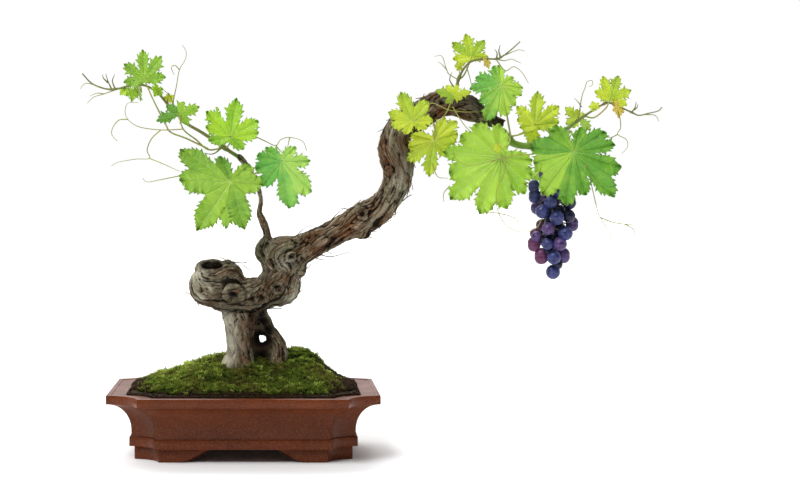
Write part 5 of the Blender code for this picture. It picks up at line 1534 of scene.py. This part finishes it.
def makeLeafMaterial(name, look):
    base, second, vein, tipColor = leafLooks[look]
    mat, tree, shader, spots = startMaterial(name, Roughness=0.5, Specular_IOR_Level=0.3)
    shader.inputs["Subsurface Weight"].default_value = 0.2
    shader.inputs["Subsurface Radius"].default_value = (0.7, 1.0, 0.15)
    shader.inputs["Subsurface Scale"].default_value = 0.0015
    veinMap = addNode(tree, "ShaderNodeUVMap", uv_map="veins").outputs[0]
    lines = placeGroup(tree, veins, {"Map": veinMap, "Vector": spots, "Width": 0.07})["Veins"]
    patches = patchy(tree, spots, 55.0, 0.2)["Mask"]
    flecks = patchy(tree, spots, 300.0, 0.25)["Mask"]
    share = counted(tree, "ADD", attribute(tree, "tint"), ranged(tree, patches, 0, 1, (-0.25, 0.35)))
    share = counted(tree, "ADD", share, ranged(tree, flecks, 0, 1, (-0.13, 0.13)))
    color = mixed(tree, ranged(tree, share, 0, 1), paint(*base), paint(*second))
    size = attribute(tree, "size")
    veinShare = times(tree, ranged(tree, lines, 0, 1, (0, 0.5)), ranged(tree, size, 0, 0.5, (0.4, 1)))
    color = mixed(tree, veinShare, color, paint(*vein))
    color = mixed(tree, ranged(tree, attribute(tree, "rim"), 0.1, 1.0, (0, 0.7)), color, paint(*tipColor))
    tree.links.new(color, shader.inputs["Base Color"])
    tree.links.new(ranged(tree, patches, 0, 1, (0.42, 0.58)), shader.inputs["Roughness"])
    addBump(tree, shader, times(tree, lines, size), 0.5, -0.0004)
    return mat


def makeStemMaterial(name, first, second):
    mat, tree, shader, spots = startMaterial(name, Roughness=0.5, Specular_IOR_Level=0.4)
    color = patchy(tree, spots, 70.0, 0.15, first, second)["Color"]
    tree.links.new(color, shader.inputs["Base Color"])
    roughen(tree, shader, spots, 1400.0, 500.0, 0.5, 0.3, 0.0004)
    return mat


def stemRun(spray):
    # the stem with a swelling at each joint
    root, tip, points = spray["stem"]
    amount, reach = twigParts["swell"]
    joints = [Vector(twig[0]) for twig in (*spray["stalks"].values(), *spray["shoots"])]
    run = []
    for x, y, z, radius in taper(points, root, tip, 2.0):
        near = min([(Vector((x, y, z)) - joint).length for joint in joints], default=99)
        run.append((x, y, z, radius * (1 + amount * math.exp(-((near / reach) ** 2)))))
    return run


def shootRun():
    # the green shoot, which swells where its stems leave
    amount, reach = twigParts["shootSwell"]
    run = []
    for x, y, z, radius in smoothPath(shootPoints, 2.0):
        near = min(abs(x - at) for at in twigParts["shootJoints"])
        run.append((x, y, z, radius * (1 + amount * math.exp(-((near / reach) ** 2)))))
    return run


def stalkRuns(spray):
    root, tip = twigParts["stalk"]
    runs = []
    for key, points in spray["stalks"].items():
        leaf = leaves[key]
        size = max(0.5, min(1, max(lobe[1] for lobe in lobesOf(leaf)) / 30))
        seat = leafPoint(leaf, 0, 0, 0.4)
        runs.append(taper([*points, tuple(seat)], root * size, tip * size, 2.0))
    return runs


def growSprays():
    looks = {look: makeLeafMaterial("leaf" + look.title(), look) for look in leafLooks}
    twigs = {name: makeStemMaterial(name, *colors) for name, colors in twigParts["colors"].items()}
    for node, spray in sprays.items():
        name = node.title().replace("_", "")
        title = name[0].lower() + name[1:]
        kinds = {}
        for key in spray["stalks"]:
            kinds.setdefault(leaves[key]["look"], []).append(key)
        for look, keys in kinds.items():
            blades = joined(title + look.title(), [leafMesh(key) for key in keys])
            finished(blades, "leaves", node, materials=[looks[look]])
        ribs = tubes(title + "Ribs", [run for key in spray["stalks"] for run in leafRibs(key)], 1)
        finished(ribs, "leaves", materials=[twigs["leafRib"]])
        shoots = [taper(points, *twigParts["shoot"]) for points in spray["shoots"]]
        stems = tubes(title + "Stem", [stemRun(spray), *shoots], 3)
        finished(stems, "leaves", node, materials=[twigs["greenStem"]])
        stalks = tubes(title + "Stalks", stalkRuns(spray), 2)
        finished(stalks, "leaves", node, materials=[twigs["leafStalk"]])
        if spray["tendrils"]:
            curls = [taper(points, *twigParts["tendril"], 2.0) for points in spray["tendrils"]]
            curls = tubes(title + "Tendrils", curls, 1)
            finished(curls, "leaves", node, materials=[twigs["tendril"]])
    shoot = tubes("rightShoot", [shootRun()], 5)
    finished(shoot, "green_shoot", "right_shoot", materials=[twigs["greenShoot"]])


# Grapes
bunchParts = {
    "at": (412, -20, 354), "tip": -100, "stalkRadii": (1.9, 0.9), "pedicel": (0.7, 1.1),
    "stalk": [
        (409, -2, 417), (410, -7, 405), (412, -16, 386), (412, -20, 356), (412, -20, 300), (412, -20, 250)],
    "stalkColors": ((150, 158, 96), (116, 110, 70)), "scar": (24, 16, 24),
    "radii": [(12, 14), (0, 21), (-25, 24), (-60, 24), (-84, 17), (-112, 2)], "backRise": 4,
    "heartCount": 14, "heartTop": 8, "heartLow": -92, "heartRadius": 8.2,
    # berries of the front as (x, z, radius, look), which the back repeats down to the tip
    "berries": [
        (-8, 14, 8.5, 0), (12, 12, 8.5, 0), (-25, 0, 7.2, 0), (24, -2, 8.5, 0), (3, -3, 9, 0),
        (-24, -13, 7.7, 0), (-7, -19, 8.2, 0), (20, -20, 8.6, 3), (-17, -31, 9.4, 0), (18, -37, 8.9, 3),
        (1, -39, 9.7, 0), (26, -50, 8.2, 1), (-10, -54, 8.6, 1), (-22, -65, 7.6, 1), (13, -60, 9.6, 0),
        (-25, -77, 8.2, 2), (-10, -74, 7.9, 0), (6, -74, 9.2, 1), (-15, -93, 9.1, 2), (-1, -92, 9.5, 0),
        (14, -92, 8.8, 1), (6, -102, 6.4, 3), (0, -112, 9.5, 0)],
    # skin colour and the bloom on it; the fourth, nearly black, also paints the shade inside the bunch on the
    # berries round the axis
    "looks": [((20, 20, 66), (84, 94, 156)), ((46, 24, 72), (116, 92, 150)), ((76, 24, 56), (126, 80, 124)),
              ((9, 8, 24), (42, 46, 88))],
}


def bunchRadius(z):
    # half the width of the bunch at this height from its top
    for (top, wide), (low, narrow) in zip(bunchParts["radii"], bunchParts["radii"][1:]):
        if top >= z >= low:
            return narrow + (wide - narrow) * (z - low) / (top - low)
    return bunchParts["radii"][0][1]


def berryMesh(rng, radius):
    # a ripe berry that is a little longer than wide, with a dimple at its stalk and a scar at its end
    bm = bmesh.new()
    bmesh.ops.create_uvsphere(bm, u_segments=26, v_segments=18, radius=1)
    scar = bm.verts.layers.float.new("scar")
    for vert in bm.verts:
        up = vert.co.z
        around = math.hypot(vert.co.x, vert.co.y)
        vert[scar] = math.exp(-((around / 0.13) ** 2)) if up < 0 else 0
        dimple = 0.05 * math.exp(-((around / 0.12) ** 2))
        uneven = 0.012 * noise.noise(vert.co * 1.4 + Vector((radius, 0, 0)))
        vert.co = vert.co * (1 - dimple + uneven) * radius
        vert.co.z *= rng.uniform(1.03, 1.035)
    return bm


def makeBerryMaterial(name, skin, bloom):
    mat, tree, shader, spots = startMaterial(name, Roughness=0.3, Specular_IOR_Level=0.32)
    clouds = patchy(tree, spots, 170.0, 0.22)["Mask"]
    smears = patchy(tree, spots, 700.0, 0.12)["Mask"]
    haze = times(tree, clouds, ranged(tree, smears, 0, 1, (0.55, 1)))
    color = mixed(tree, ranged(tree, haze, 0, 1, (0.05, 0.75)), paint(*skin), paint(*bloom))
    color = mixed(tree, attribute(tree, "scar"), color, paint(*bunchParts["scar"]))
    tree.links.new(color, shader.inputs["Base Color"])
    tree.links.new(ranged(tree, haze, 0, 1, (0.22, 0.62)), shader.inputs["Roughness"])
    addBump(tree, shader, smears, 0.12, 0.0002)
    return mat


def makeBunch():
    b = bunchParts
    rng = random.Random(3)
    axis = Vector(b["at"])
    groups = [[] for _ in b["looks"]]
    pedicels = [taper(b["stalk"], *b["stalkRadii"])]
    for facing in (-1, 1):
        for x, z, radius, look in b["berries"]:
            if facing > 0 and z < b["tip"]:
                continue
            spread = bunchRadius(z)
            depth = facing * math.sqrt(max(0, spread**2 - x**2)) * 1.05
            spot = axis + Vector((x, depth, z + (b["backRise"] if facing > 0 else 0)))
            heart = Vector((axis.x, axis.y, min(spot.z + 8, axis.z + 20)))
            out = (spot - heart).normalized()
            bm = berryMesh(rng, radius * mm)
            turn = (-out).to_track_quat("Z", "Y").to_matrix().to_4x4()
            bm.transform(Matrix.Translation(spot * mm) @ turn)
            shade = (look + rng.choice((0, 0, 1))) % 4 if facing > 0 else look
            groups[shade].append(fromBmesh("berry", bm))
            pedicels.append(taper([tuple(heart), tuple(spot - out * radius * 0.9)], *b["pedicel"], 3))
    for i in range(b["heartCount"]):
        # berries round the axis in the nearly black fourth look, painted shade inside the bunch, which show
        # only in the gaps between the outer ones
        z = b["heartTop"] + (b["heartLow"] - b["heartTop"]) * i / (b["heartCount"] - 1)
        turn = 2.4 * i
        away = 0.38 * bunchRadius(z)
        bm = berryMesh(rng, b["heartRadius"] * mm)
        offset = Vector((away * math.cos(turn), away * math.sin(turn), z))
        bm.transform(Matrix.Translation((axis + offset) * mm))
        groups[3].append(fromBmesh("berry", bm))
    for i, group in enumerate(groups):
        skin, bloom = b["looks"][i]
        mat = makeBerryMaterial(f"grapeSkin{i + 1}", skin, bloom)
        finished(joined(f"grapes{i + 1}", group), "grapes", "grape_bunch", materials=[mat])
    stalkMat = makeStemMaterial("bunchStalk", *b["stalkColors"])
    finished(tubes("bunchStalk", pedicels, 2), "grapes", "grape_bunch", materials=[stalkMat])


# Floor, light and camera
studio = {
    "floor": ((250, 250, 250), (247, 248, 249)), "frontFill": 0.16, "backFill": 0.9, "keyPower": 2.4,
    "keyFrom": (-0.5, -0.55, 1.0), "keySoft": 30, "backPower": 2.2, "backFrom": (-0.2, 0.8, 1.0),
    "backSoft": 50, "cameraAt": (34.5, -2102, 354), "lens": 70.155, "shift": (0.1625, -0.0775),
}


def layFloor():
    bm = bmesh.new()
    bmesh.ops.create_grid(bm, x_segments=2, y_segments=2, size=30)
    floor = fromBmesh("studioFloor", bm)
    mat, tree, shader, spots = startMaterial("studioPaper", Roughness=0.9, Specular_IOR_Level=0.1)
    paper = patchy(tree, spots, 3.0, 0.4, *studio["floor"])["Color"]
    tree.links.new(paper, shader.inputs["Base Color"])
    floor.data.materials.append(mat)


def lightRoom():
    # a white room that is darker in front, and white to the camera
    world = bpy.data.worlds.new("studioWorld")
    world.use_nodes = True
    tree = world.node_tree
    seen = tree.nodes.new("ShaderNodeLightPath").outputs["Is Camera Ray"]
    toward = tree.nodes.new("ShaderNodeTexCoord").outputs["Generated"]
    depth = addNode(tree, "ShaderNodeSeparateXYZ", {0: toward}).outputs[1]
    room = ranged(tree, depth, -0.5, 0.6, (studio["frontFill"], studio["backFill"]))
    sky = tree.nodes["Background"]
    sky.inputs["Color"].default_value = (1, 1, 1, 1)
    tree.links.new(highest(tree, room, seen), sky.inputs["Strength"])
    bpy.context.scene.world = world


def hangLamp(name, power, direction, softness):
    lamp = bpy.data.lights.new(name, "SUN")
    lamp.energy = power
    lamp.angle = math.radians(softness)
    holder = place(name, lamp)
    holder.location = direction
    holder.rotation_euler = (-Vector(direction)).to_track_quat("-Z", "Y").to_euler()


def setCamera():
    lens = bpy.data.cameras.new("photoCamera")
    lens.sensor_width = 36
    lens.lens = studio["lens"]
    lens.shift_x, lens.shift_y = studio["shift"]
    camera = place("photoCamera", lens)
    camera.location = plantAt + Vector(studio["cameraAt"]) * mm
    camera.rotation_euler = (math.radians(90), 0, 0)
    bpy.context.scene.camera = camera
    bpy.context.scene.view_settings.view_transform = "Standard"


def setStage():
    layFloor()
    lightRoom()
    hangLamp("keyLight", studio["keyPower"], studio["keyFrom"], studio["keySoft"])
    hangLamp("backLight", studio["backPower"], studio["backFrom"], studio["backSoft"])
    setCamera()
    print("stage set")


setStage()
makePot()
growMoss(makeGround())
makeWood()
growSprays()
makeBunch()
